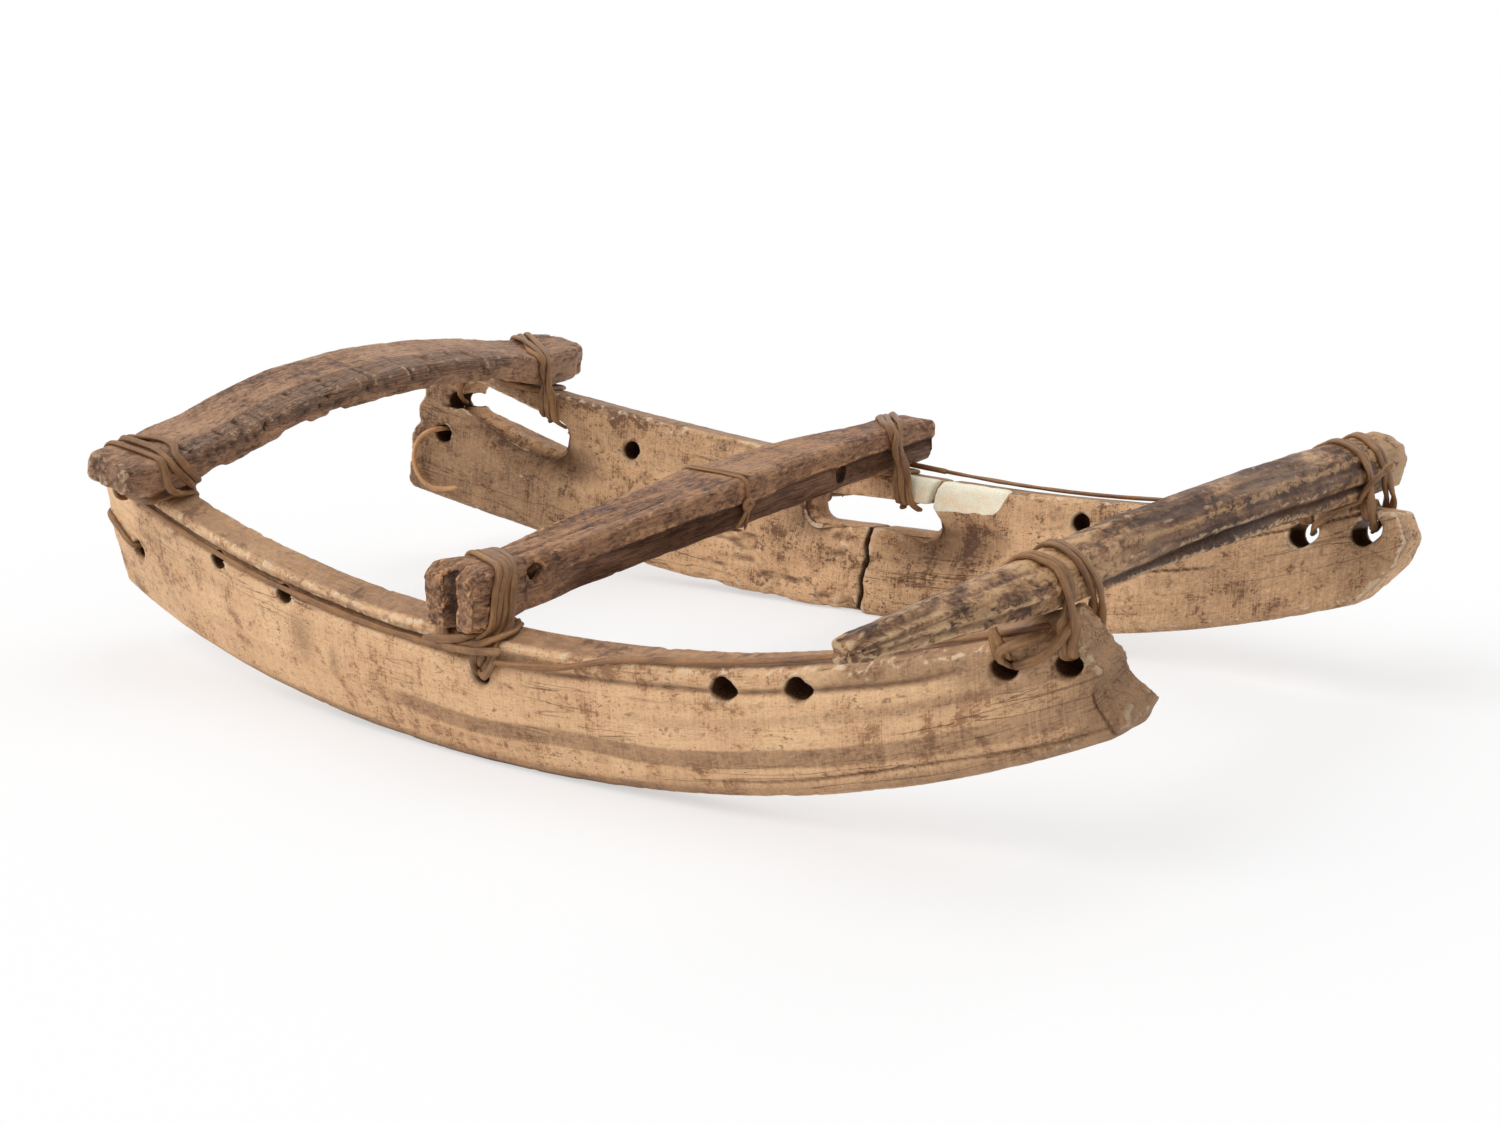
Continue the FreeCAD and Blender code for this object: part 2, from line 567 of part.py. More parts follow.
def make_right_front_line():
    """From the middle lashing over the rim and along the top edge, in under the front crosspiece."""
    start, end = MIDDLE_X + 37.0, FRONT_X + 10.0
    steps = 7
    points = [RIGHT.top(start - 7.0, -LINE / 2 - CLEARANCE, -3.0)]
    for i in range(steps + 1):
        share = i / steps
        x, depth = lerp(start, end, share), lerp(0.5, 6.0, share)
        slope_drop = RIM_DROP * ramp(x, *RIM_FALLS) * (1.0 - depth / RIGHT.thickness)
        points.append(RIGHT.top(x, depth, LINE / 2 + CLEARANCE - slope_drop))
    return thong(points, LINE, 60.0)


def make_left_edge_line():
    steps = 8
    xs = [lerp(MIDDLE_X + 22.0, FRONT_X - 32.0, i / steps) for i in range(steps + 1)]
    return thong([LEFT.top(x, 0.2, 0.1) for x in xs], LINE, 60.0)


def make_middle_binding():
    off = BINDING / 2 + CLEARANCE
    points = []
    for turn in range(2):
        for k, (side, height) in enumerate(((1, 0), (-1, 0), (-1, 1), (1, 1))):
            y = 3.0 + (turn + k / 4) * (BINDING + 0.4)
            _, across, up = MIDDLE.frame(y)
            points.append(MIDDLE.point(y, side, height) + across * (side * off) + up * (off if height else -off))
    return thong(points, BINDING, 2.0)


def make_binding_knot():
    """The binding's tied ends, lying on the crosspiece's front face."""
    off = BINDING / 2 + CLEARANCE
    route = [(0.5, 0.86, 0.0), (-3.0, 0.62, 0.2), (-0.5, 0.40, 1.8), (1.2, 0.62, 2.6), (-4.0, 0.5, 2.8), (-8.0, 0.18, 0.4)]
    points = []
    for y, height, stand in route:
        _, across, _ = MIDDLE.frame(y)
        points.append(MIDDLE.point(y, 1, height) + across * (off + stand))
    return thong(points, BINDING, 2.0)


def make_rear_left_stay():
    """From the upper rear hole of the left runner up its inner face and over its top edge."""
    x, up = LEFT_REAR_HOLES[1]
    t = LEFT.thickness
    points = [LEFT.point(x, t / 2, up - HOLE_RADIUS + OFF), face_point(LEFT, False, x, up - HOLE_RADIUS + OFF),
              LEFT.top(x + 3.0, t + OFF, OFF), LEFT.top(x + 3.0, t - 8.0, OFF)]
    return thong(points, bend=2.2)


def make_front_tie(runner, holes, outer):
    """From a front lashing's rear hole along one face, outside its front strands, and up to the crosspiece."""
    (x, up), (front_x, _) = in_hole(holes[0], 3), holes[1]
    face = lambda along, height, off: face_point(runner, outer, along, height, off)
    rim = runner.plank_height(FRONT_X)
    points = [runner.point(x, runner.thickness / 2, up), face(x, up, OFF), face(x + 5.0, up - 5.0, STAND - 1.0),
              face(front_x + 4.0, rim - 12.0, STAND + 0.5), face(front_x + 7.5, rim - 1.0, STAND + 0.5)]
    return thong(points, bend=4.0)


HANGING_ROUTE = ((-1.8, -9.0, 1.9), (-1.8, 6.5, 1.9), (-9.5, 6.0, -7.0), (-11.5, 5.0, -18.0), (-6.0, 4.0, -26.5),
                 (3.0, 4.0, -27.5), (14.0, 4.5, -22.0))


def make_hanging_thong():
    """Out of the lower rear hole of the left runner, down past its inner face, and forward at its end. The route
    gives the distance from the hole's middle along the runner, off its inner face, and up."""
    x, up = LEFT_REAR_HOLES[0]
    points = [LEFT.point(x + dx, LEFT.thickness + off, up + dup) for dx, off, dup in HANGING_ROUTE]
    print("   hanging thong points, m", [[round(c / 1000, 5) for c in p + Vec(0, SIDE_SHIFT, 0)] for p in points])
    return thong(points, HANGING, 60.0)


# The origin lies under the middle of the whole sled's box; the front crosspiece sticks out to the right
SIDE_SHIFT = -(FRONT.stations[0][0] + FRONT.stations[-1][0]) / 2


def write(name, shape):
    shape.translate(Vec(0, SIDE_SHIFT, 0))
    shape.exportStep(f"parts/{name}.step")
    box = shape.BoundBox
    print(name, "solids", len(shape.Solids), "valid", shape.isValid(), "volume", round(shape.Volume),
          "x %.0f..%.0f y %.0f..%.0f z %.1f..%.1f" % (box.XMin, box.XMax, box.YMin, box.YMax, box.ZMin, box.ZMax))


def main():
    os.makedirs("parts", exist_ok=True)
    write("right_runner", make_right_runner())
    rear, front = make_left_runner()
    write("left_runner_rear", rear)
    write("left_runner_front", front)
    write("rear_crosspiece", REAR.body())
    write("middle_crosspiece", make_middle_crosspiece())
    write("front_crosspiece", FRONT.body())
    write("rear_right_lashing", make_rear_right_lashing())
    write("rear_left_lashing", make_rear_left_lashing())
    write("middle_right_lashing", make_middle_right_lashing())
    write("middle_left_lashing", make_middle_left_lashing())
    write("front_right_lashing", make_front_right_lashing())
    write("front_left_lashing", make_front_left_lashing())
    write("rear_right_frapping", bar_frapping(RIGHT, REAR, turns=1))
    write("rear_left_frapping", bar_frapping(LEFT, REAR, turns=1))
    write("middle_right_frapping", bar_frapping(RIGHT, MIDDLE, turns=2))
    write("middle_left_frapping", bar_frapping(LEFT, MIDDLE, turns=1))
    write("front_right_tie", make_front_tie(RIGHT, RIGHT_FRONT_HOLES, outer=True))
    write("front_left_tie", make_front_tie(LEFT, LEFT_FRONT_HOLES, outer=False))
    write("break_splice", make_splice())
    write("right_end_loop", make_end_loop())
    write("right_edge_line", make_right_edge_line())
    write("right_front_line", make_right_front_line())
    write("left_edge_line", make_left_edge_line())
    write("middle_binding", make_middle_binding())
    write("binding_knot", make_binding_knot())
    write("rear_left_stay", make_rear_left_stay())
    write("hanging_thong", make_hanging_thong())


main()
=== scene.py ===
import json
import math
import bpy
import numpy as np
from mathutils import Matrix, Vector
from mathutils.bvhtree import BVHTree


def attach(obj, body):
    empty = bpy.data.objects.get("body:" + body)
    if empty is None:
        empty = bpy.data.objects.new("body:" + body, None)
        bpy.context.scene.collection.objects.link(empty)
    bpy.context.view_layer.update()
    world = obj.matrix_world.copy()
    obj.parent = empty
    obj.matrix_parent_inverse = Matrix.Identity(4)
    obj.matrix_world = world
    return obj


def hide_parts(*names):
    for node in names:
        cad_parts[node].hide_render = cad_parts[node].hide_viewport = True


# Looks of the small lashed hand sled: worn bone runners, two wooden crosspieces, one of antler, hide thongs.
# Each rigid CAD node is copied, remeshed evenly and carved by noise. Each thong is pulled tight round the
# carved pieces and swept. Shapes are worked out in millimetres and written in metres.

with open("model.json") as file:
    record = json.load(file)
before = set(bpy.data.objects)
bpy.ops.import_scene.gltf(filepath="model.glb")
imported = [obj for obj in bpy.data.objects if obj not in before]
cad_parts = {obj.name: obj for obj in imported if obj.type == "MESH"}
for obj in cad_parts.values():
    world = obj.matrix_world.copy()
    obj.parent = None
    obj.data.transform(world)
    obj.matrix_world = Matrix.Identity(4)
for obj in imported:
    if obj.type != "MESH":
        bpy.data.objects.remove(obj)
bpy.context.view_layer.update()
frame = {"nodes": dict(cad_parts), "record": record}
MM = 0.001


# ---- noise and small maths
STEADY = 400.0                # a noise size so large that the noise hardly changes along that axis


def ease(low, high, value):
    """0 at low and 1 at high, smooth between them; low may be the larger one."""
    t = np.clip((value - low) / (high - low), 0.0, 1.0)
    return t * t * (3.0 - 2.0 * t)


def bell(value, width):
    """1 where value is 0, falling to 0 on both sides."""
    return np.exp(-(value / width) ** 2)


def strongest(*masks):
    return np.maximum.reduce(masks)


def blob(a, b, a0, b0, radius_a, radius_b, turn=0.0):
    """1 at (a0, b0), falling smoothly to 0 on an ellipse turned by that many degrees."""
    c, s = math.cos(math.radians(turn)), math.sin(math.radians(turn))
    u = ((a - a0) * c + (b - b0) * s) / radius_a
    v = (-(a - a0) * s + (b - b0) * c) / radius_b
    return np.clip(1.0 - u * u - v * v, 0.0, 1.0) ** 1.5


def lattice(ix, iy, iz, seed):
    """A hashed value from 0 to 1 at each whole-numbered place."""
    h = (ix * 73856093) ^ (iy * 19349663) ^ (iz * 83492791) ^ (seed * 97531)
    h = ((h ^ (h >> 13)) & 0xFFFFFFFF) * 1274126177 & 0xFFFFFFFF
    return ((h ^ (h >> 16)) & 0xFFFF) / 65535.0


def noise(points, size, seed):
    """Smooth noise from -1 to 1, in features of that size: one number, or one for each axis."""
    q = points / np.asarray(size, float)
    cell = np.floor(q).astype(np.int64)
    f = q - cell
    f = f * f * (3.0 - 2.0 * f)
    total = np.zeros(len(points))
    for dx, dy, dz in np.ndindex(2, 2, 2):
        weight = np.abs(1 - dx - f[:, 0]) * np.abs(1 - dy - f[:, 1]) * np.abs(1 - dz - f[:, 2])
        total += weight * lattice(cell[:, 0] + dx, cell[:, 1] + dy, cell[:, 2] + dz, seed)
    return 2.0 * total - 1.0


def layered(points, size, seed):
    """Noise with two finer and fainter layers of noise on it."""
    total, norm = 0.0, 0.0
    for layer in range(3):
        share = 0.5 ** layer
        total = total + share * noise(points, np.asarray(size, float) / 2 ** layer, seed + 17 * layer)
        norm += share
    return total / norm


def wander(points, size, seed):
    """Noise that changes only along the piece."""
    return noise(points, (size, STEADY, STEADY), seed)


def unevenness(points, seed, *layers):
    """A sum of noises, each given by its height and size; their seeds follow one another."""
    return sum(height * layered(points, size, seed + k) for k, (height, size) in enumerate(layers))


# ---- runner shape, as the CAD has it
HALF = 250.0
SIDE_SHIFT = 28.5             # the runners' mid plane stands this far to the left of the origin


class Runner:
    """Places along a runner: x, depth inward from its outer face, and height up the plank from its sole."""

    def __init__(self, side, half_track, toe, bow, rise, skew, tip_rise, height, slope, crown, thickness,
                 lean):
        self.side, self.half_track, self.toe, self.bow = side, half_track, toe, bow
        self.rise, self.skew, self.tip_rise = rise, skew, tip_rise
        self.height, self.slope, self.crown = height, slope, crown
        self.thickness = thickness
        self.cos, self.sin = math.cos(math.radians(lean)), math.sin(math.radians(lean))

    def foot(self, x):
        """Distance of the sole's outer edge from the mid plane, and its height over the ground."""
        v = x / HALF
        across = self.half_track + self.toe * v - self.bow * v ** 2
        return across, self.rise * v ** 2 + self.skew * v ** 3 + self.tip_rise * v ** 4

    def plank_height(self, x):
        v = x / HALF
        return self.height + self.slope * v + self.crown * v ** 2

    def point(self, x, depth, up):
        across, z = self.foot(x)
        y = self.side * (across - depth * self.cos + up * self.sin) + SIDE_SHIFT
        return np.array((x, y, z + depth * self.sin + up * self.cos))

    def points(self, *places):
        return [self.point(*place) for place in places]

    def top(self, x, depth, above=0.0):
        return self.point(x, depth, self.plank_height(x) + above)

    def tops(self, *places):
        return [self.top(*place) for place in places]

    def coordinates(self, points):
        x = points[:, 0]
        across, z = self.foot(x)
        dy = self.side * (points[:, 1] - SIDE_SHIFT) - across
        dz = points[:, 2] - z
        return np.column_stack((x, -dy * self.cos + dz * self.sin, dy * self.sin + dz * self.cos))


RIGHT = Runner(side=-1, half_track=138.0, toe=2.4, bow=36.0, rise=30.0, skew=11.5, tip_rise=9.5,
               height=52.0, slope=-7.6, crown=3.1, thickness=17.0, lean=11.0)
LEFT = Runner(side=1, half_track=135.7, toe=14.0, bow=20.0, rise=40.0, skew=8.0, tip_rise=2.0,
              height=64.0, slope=-13.5, crown=-14.0, thickness=18.0, lean=8.0)

# holes as x and height up the plank
RIGHT_REAR_HOLE = (-213.0, 27.0)
RIGHT_MIDDLE_HOLE = (6.0, 37.0)
RIGHT_FRONT_HOLES = ((209.0, 36.0), (229.0, 31.0))
RIGHT_LINE_HOLES = ((111.0, 41.5), (139.0, 40.5))
RIGHT_SMALL_HOLES = ((-147.0, 46.0), (-103.0, 44.5))
LEFT_FRONT_HOLES = ((205.0, 31.0), (232.0, 26.0))
LEFT_ROUND_HOLES = ((-233.0, 30.0), (-227.0, 48.0), (-131.0, 50.0), (102.0, 46.0))
HOLE, SMALL_HOLE, OVAL_HOLE = 4.2, 2.6, 4.75
OVAL_STRAIGHT = 1.75          # half the straight part of an oval hole

REAR_X, MIDDLE_X, FRONT_X = -194.0, 0.0, 221.0


# ---- pieces
def put(name, data):
    """A new object in the scene."""
    obj = bpy.data.objects.new(name, data)
    bpy.context.scene.collection.objects.link(obj)
    return obj


def make_piece(name, mesh, node, material, grain, masks):
    """A mesh becomes a piece of the sled. Its points carry their place in the grain and masks from 0 to 1."""
    mesh.shade_smooth()
    lay = mesh.attributes.new("grain", "FLOAT_VECTOR", "POINT")
    lay.data.foreach_set("vector", (grain * MM).astype(np.float32).ravel())
    for mask_name, values in masks.items():
        mask = mesh.attributes.new(mask_name, "FLOAT", "POINT")
        mask.data.foreach_set("value", np.clip(values, 0.0, 1.0).astype(np.float32))
    mesh.update()
    mesh.materials.clear()
    mesh.materials.append(material)
    obj = put(name, mesh)
    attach(obj, "root")
    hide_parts(node)
    return obj


class Skin:
    """A copy of a CAD node as an even fine mesh, in millimetres, that is carved and then becomes a piece."""

    def __init__(self, node, voxel):
        self.node = node
        work = put("work", frame["nodes"][node].data.copy())
        even = work.modifiers.new("even", "REMESH")
        even.mode = "VOXEL"
        even.voxel_size = voxel * MM
        graph = bpy.context.evaluated_depsgraph_get()
        self.mesh = bpy.data.meshes.new_from_object(work.evaluated_get(graph))
        bpy.data.objects.remove(work)
        self.count = len(self.mesh.vertices)
        flat = np.empty(self.count * 3)
        self.mesh.vertices.foreach_get("co", flat)
        self.p = flat.reshape(-1, 3) / MM
        ends = np.empty(len(self.mesh.edges) * 2, dtype=np.int64)
        self.mesh.edges.foreach_get("vertices", ends)
        self.a, self.b = ends.reshape(-1, 2).T
        self.degree = np.bincount(ends, minlength=self.count)
        for _ in range(4):          # takes out the voxel steps without shrinking the piece
            self.p += 0.5 * (self.average(self.p) - self.p)
            self.p -= 0.52 * (self.average(self.p) - self.p)

    def average(self, values):
        """The mean of each point's neighbours."""
        columns = values.reshape(self.count, -1)
        out = np.empty_like(columns)
        for k in range(columns.shape[1]):
            out[:, k] = (np.bincount(self.a, columns[self.b, k], self.count)
                         + np.bincount(self.b, columns[self.a, k], self.count))
        return (out / self.degree[:, None]).reshape(values.shape)

    def smooth(self, times):
        for _ in range(times):
            self.p += 0.5 * (self.average(self.p) - self.p)

    def write(self):
        self.mesh.vertices.foreach_set("co", (self.p * MM).ravel())
        self.mesh.update()

    def normals(self):
        self.write()
        flat = np.empty(self.count * 3)
        self.mesh.vertex_normals.foreach_get("vector", flat)
        return flat.reshape(-1, 3)

    def bulge(self, reach):
        """How far each point stands out of its surroundings; a hollow is negative."""
        spread = self.p.copy()
        for _ in range(reach):
            spread = 0.5 * (spread + self.average(spread))
        return ((self.p - spread) * self.normals()).sum(1)

    def edges(self):
        return np.clip(self.bulge(10) / 0.55, 0.0, 1.0)

    def small_hollows(self):
        return np.clip(-self.bulge(5) / 0.35, 0.0, 1.0)

    def nibbled(self, g, least, seed):
        """1 where an edge is nibbled away; more of it is where least is lower."""
        return self.edges() * ease(least, 0.5, layered(g, (9, 7, 7), seed))

    def push(self, amount):
        """Moves every point outward by its amount."""
        self.p += self.normals() * amount[:, None]

    def tree(self):
        self.write()
        polygons = [tuple(f.vertices) for f in self.mesh.polygons]
        return BVHTree.FromPolygons([Vector(p) for p in self.p], polygons)

    def piece(self, slot, material, grain, **masks):
        bulge = self.bulge(10)
        masks["edge"] = bulge / 0.55
        # hollow: how deep a point lies in a concave place; the finishes darken it there as dirt and painted
        # shade
        masks["hollow"] = -bulge / 0.45
        return make_piece(self.node + "_skin", self.mesh, self.node, material, grain, masks)


# ---- materials
def rgb(r, g, b):
    """A colour as it looks on screen, 0 to 255, as the linear colour a shader takes."""
    linear = (((c / 255 + 0.055) / 1.055) ** 2.4 if c > 10 else c / 255 / 12.92 for c in (r, g, b))
    return (*linear, 1.0)


def brighter(colour, factor):
    return tuple(min(1.0, c * factor) for c in colour[:3]) + (1.0,)


class Finish:
    """A node material, built up step by step. Its patterns lie in the grain of the piece."""

    def __init__(self, name, specular=0.22):
        self.material = bpy.data.materials.new(name)
        self.material.use_nodes = True
        self.tree = self.material.node_tree
        self.shader = self.tree.nodes["Principled BSDF"]
        self.specular = specular
        self.shader.inputs["Specular IOR Level"].default_value = specular
        self.grain = self.attribute("grain", "Vector")

    def plug(self, socket, value):
        """Puts a number, a colour or another node's output into a socket."""
        if isinstance(value, bpy.types.NodeSocket):
            self.tree.links.new(value, socket)
        else:
            socket.default_value = value

    def node(self, kind, inputs=(), **settings):
        made = self.tree.nodes.new("ShaderNode" + kind)
        for key, value in settings.items():
            setattr(made, key, value)
        for key, value in dict(inputs).items():
            self.plug(made.inputs[key], value)
        return made

    def attribute(self, name, output="Fac"):
        return self.node("Attribute", attribute_name=name).outputs[output]

    def math(self, operation, a, b=0.0):
        return self.node("Math", {0: a, 1: b}, operation=operation).outputs[0]

    def times(self, a, b):
        return self.math("MULTIPLY", a, b)

    def weigh(self, *terms):
        """Sum of value times weight."""
        total = None
        for value, weight in terms:
            term = self.times(value, weight)
            total = term if total is None else self.math("ADD", total, term)
        return total

    def stretched(self, stretch):
        return self.node("VectorMath", {0: self.grain, 1: stretch}, operation="MULTIPLY").outputs[0]

    def noise(self, scale, detail=4.0, roughness=0.55, distortion=0.0, stretch=None):
        vector = self.stretched(stretch) if stretch else self.grain
        return self.node("TexNoise", {"Vector": vector, "Scale": scale, "Detail": detail,
                                      "Roughness": roughness, "Distortion": distortion}).outputs["Fac"]

    def streaks(self, scales, detail, roughness=0.55, distortion=0.0):
        """Noise with its own scale along the grain and in the two directions across it."""
        return self.noise(1.0, detail, roughness, distortion, scales)

    def cells(self, scale, stretch):
        """Distance from the nearest of many scattered points."""
        vector = self.stretched(stretch)
        return self.node("TexVoronoi", {"Vector": vector, "Scale": scale}).outputs["Distance"]

    def band(self, value, low, high, out_low=0.0, out_high=1.0):
        """value, mapped smoothly from low..high to out_low..out_high."""
        return self.node("MapRange", {"Value": value, "From Min": low, "From Max": high, "To Min": out_low,
                                      "To Max": out_high}, interpolation_type="SMOOTHSTEP").outputs["Result"]

    def contour(self, pattern, level, wide, narrow):
        """Thin lines where a pattern passes a level."""
        return self.band(self.math("ABSOLUTE", self.math("SUBTRACT", pattern, level)), wide, narrow)

    def ragged(self, mask, pattern, amount, low, high):
        """A mask of the piece, its border broken up by a pattern."""
        ripple = self.times(self.math("SUBTRACT", pattern, 0.5), amount)
        return self.band(self.math("ADD", self.attribute(mask), ripple), low, high)

    def ramp(self, value, *stops):
        made = self.node("ValToRGB", {"Fac": value})
        elements = made.color_ramp.elements
        while len(elements) < len(stops):
            elements.new(0.5)
        for element, (place, colour) in zip(elements, stops):
            element.position = place
            element.color = colour
        return made.outputs["Color"]

    def mix(self, factor, a, b):
        made = self.node("Mix", data_type="RGBA", blend_type="MIX")
        for socket, value in zip([s for s in made.inputs if s.enabled], (factor, a, b)):
            self.plug(socket, value)
        return [s for s in made.outputs if s.enabled][0]

    def lay(self, colour, mask, share, over):
        """Lays a colour over another where the mask is, covering that share of it."""
        return self.mix(self.times(mask, share), colour, over)

    def done(self, colour, height, depth_mm, roughness):
        bump = self.node("Bump", {"Height": height, "Distance": depth_mm * MM, "Strength": 1.0})
        self.plug(self.shader.inputs["Base Color"], colour)
        self.plug(self.shader.inputs["Normal"], bump.outputs["Normal"])
        self.plug(self.shader.inputs["Roughness"], roughness)
        return self.material

    def dull_in_the_dark(self):
        """No shine inside holes and cracks."""
        dull = self.band(self.attribute("dark"), 0.1, 0.7, self.specular, 0.0)
        self.plug(self.shader.inputs["Specular IOR Level"], dull)


def bone_finish(name, light, mid, dark, stain, top, mottling, freckles):
    """Old tan bone: blotches, mottling, length streaks and cracks, scratches, pores and worn pale edges."""
    f = Finish(name)
    f.dull_in_the_dark()
    blotch = f.noise(24, 4, 0.6)
    cloud = f.noise(95, 6, 0.65, 0.6)
    mottle = f.noise(330, 5, 0.65, 0.5, stretch=(0.9, 1.0, 0.9))
    streak = f.streaks((9, 130, 150), 5, 0.62, 0.6)
    fine = f.noise(1100, 3, 0.6, stretch=(0.5, 1.0, 1.0))
    scratch = f.streaks((1500, 50, 45), 3, 0.6)
    grit = f.noise(2400, 2, 0.6, stretch=(0.6, 1.0, 1.0))
    tone = f.weigh((blotch, 0.28), (cloud, 0.28), (mottle, 0.22), (streak, 0.13), (fine, 0.17),
                   (scratch, 0.12))
    colour = f.ramp(f.math("SUBTRACT", tone, 0.10), (0.425, dark), (0.472, mid), (0.525, light),
                    (0.585, brighter(light, 1.22)))
    # brown mottling, freckles and dark pores
    patches = f.band(f.weigh((cloud, 0.40), (mottle, 0.30), (blotch, 0.15), (fine, 0.15)), 0.505, 0.63)
    colour = f.lay(colour, patches, mottling, dark)
    dots = f.times(f.band(f.weigh((mottle, 0.5), (fine, 0.5)), 0.54, 0.60),
                   f.band(f.noise(52, 3), 0.44, 0.60, 0.15, 1.0))
    colour = f.lay(colour, dots, freckles, rgb(108, 74, 50))
    pores = f.times(f.band(f.cells(330, (0.5, 1.0, 1.0)), 0.10, 0.04), f.band(f.noise(70, 3), 0.52, 0.60))
    colour = f.lay(colour, pores, 0.8, rgb(70, 46, 33))
    # thin cracks and reddish lines along the length
    line = f.times(f.contour(f.streaks((7, 120, 150), 3, 0.55, 0.2), 0.5, 0.0075, 0.0015),
                   f.band(f.streaks((9, 30, 30), 3), 0.50, 0.60))
    colour = f.lay(colour, line, 0.65, rgb(104, 70, 48))
    hair = f.contour(f.streaks((10, 230, 260), 4, 0.6, 0.3), 0.47, 0.010, 0.002)
    colour = f.lay(colour, hair, 0.30, rgb(136, 92, 62))
    # stains laid over the mottling, and the grimy top edge
    stained = f.ragged("stain", f.weigh((cloud, 0.35), (mottle, 0.35), (streak, 0.30)), 2.0, 0.12, 0.95)
    thin = f.band(f.weigh((cloud, 0.45), (fine, 0.35), (scratch, 0.2)), 0.40, 0.60, 0.0, 0.55)
    colour = f.lay(colour, stained, 0.74, f.mix(thin, stain, mid))
    topped = f.times(f.attribute("top"), f.band(cloud, 0.40, 0.60, 0.72, 1.0))
    grime = f.mix(f.band(f.weigh((mottle, 0.6), (streak, 0.4)), 0.45, 0.56), top, dark)
    colour = f.mix(topped, colour, grime)
    spots = f.times(f.band(f.noise(60, 6, 0.72), 0.56, 0.62), f.attribute("top"))
    colour = f.lay(colour, spots, 0.7, rgb(84, 60, 48))
    # dirt and painted shade in hollows, worn pale edges, dark cracks and painted shade inside holes and
    # grooves, fresh breaks
    colour = f.lay(colour, f.attribute("hollow"), 0.8, rgb(84, 58, 42))
    colour = f.lay(colour, f.ragged("edge", mottle, 2.4, 0.42, 0.85), 0.72, rgb(236, 212, 180))
    colour = f.mix(f.attribute("dark"), colour, rgb(58, 36, 24))
    pale = f.ramp(f.weigh((cloud, 0.6), (streak, 0.4)), (0.36, rgb(255, 228, 190)),
                  (0.50, rgb(255, 249, 226)))
    colour = f.mix(f.band(f.attribute("fresh"), 0.35, 0.65), colour, pale)
    colour = f.mix(f.band(grit, 0.42, 0.60, 0.0, 0.16), colour, dark)
    height = f.weigh((cloud, 0.40), (mottle, 0.42), (streak, 0.40), (fine, 0.26), (scratch, 0.16),
                     (dots, -0.12), (pores, -0.35), (line, -0.5), (grit, 0.10))
    return f.done(colour, height, 0.85, f.band(cloud, 0.38, 0.62, 0.46, 0.64))


def wood_finish(name, light, mid, dark, stain, pale):
    """Old worked wood: long fibres, pits, dirt and painted shade in the low places and pale rubbed edges."""
    f = Finish(name)
    f.dull_in_the_dark()
    blotch = f.noise(34, 4, 0.6)
    cloud = f.noise(120, 6, 0.68, 0.5)
    mottle = f.noise(620, 5, 0.68, 0.4, stretch=(0.4, 1.0, 1.0))
    fibre = f.streaks((10, 330, 330), 6, 0.65, 0.6)
    thread = f.streaks((50, 1500, 1500), 3, 0.6)
    tone = f.weigh((blotch, 0.22), (cloud, 0.24), (fibre, 0.18), (mottle, 0.28), (thread, 0.10))
    colour = f.ramp(f.math("SUBTRACT", tone, 0.02), (0.425, dark), (0.472, mid), (0.53, light),
                    (0.60, brighter(light, 1.25)))
    colour = f.lay(colour, f.band(fibre, 0.57, 0.66), 0.6, dark)
    pits = f.times(f.band(f.noise(760, 4, 0.65, stretch=(0.5, 1.0, 1.0)), 0.58, 0.65), 0.42)
    colour = f.mix(pits, colour, rgb(60, 42, 33))
    stained = f.ragged("stain", mottle, 2.6, 0.28, 0.80)
    colour = f.lay(colour, stained, 0.78, f.mix(f.band(thread, 0.40, 0.60), stain, mid))
    # dirt and painted shade in hollows; then the dark mask, painted shade in notches, ledges and small
    # hollows
    colour = f.lay(colour, f.attribute("hollow"), 0.75, rgb(60, 42, 35))
    colour = f.lay(colour, f.ragged("edge", mottle, 2.6, 0.45, 0.90), 0.78, pale)
    colour = f.mix(f.attribute("dark"), colour, rgb(50, 35, 29))
    height = f.weigh((cloud, 0.4), (mottle, 0.55), (fibre, 0.45), (thread, 0.25), (pits, -0.35))
    return f.done(colour, height, 1.0, f.band(cloud, 0.35, 0.65, 0.50, 0.72))


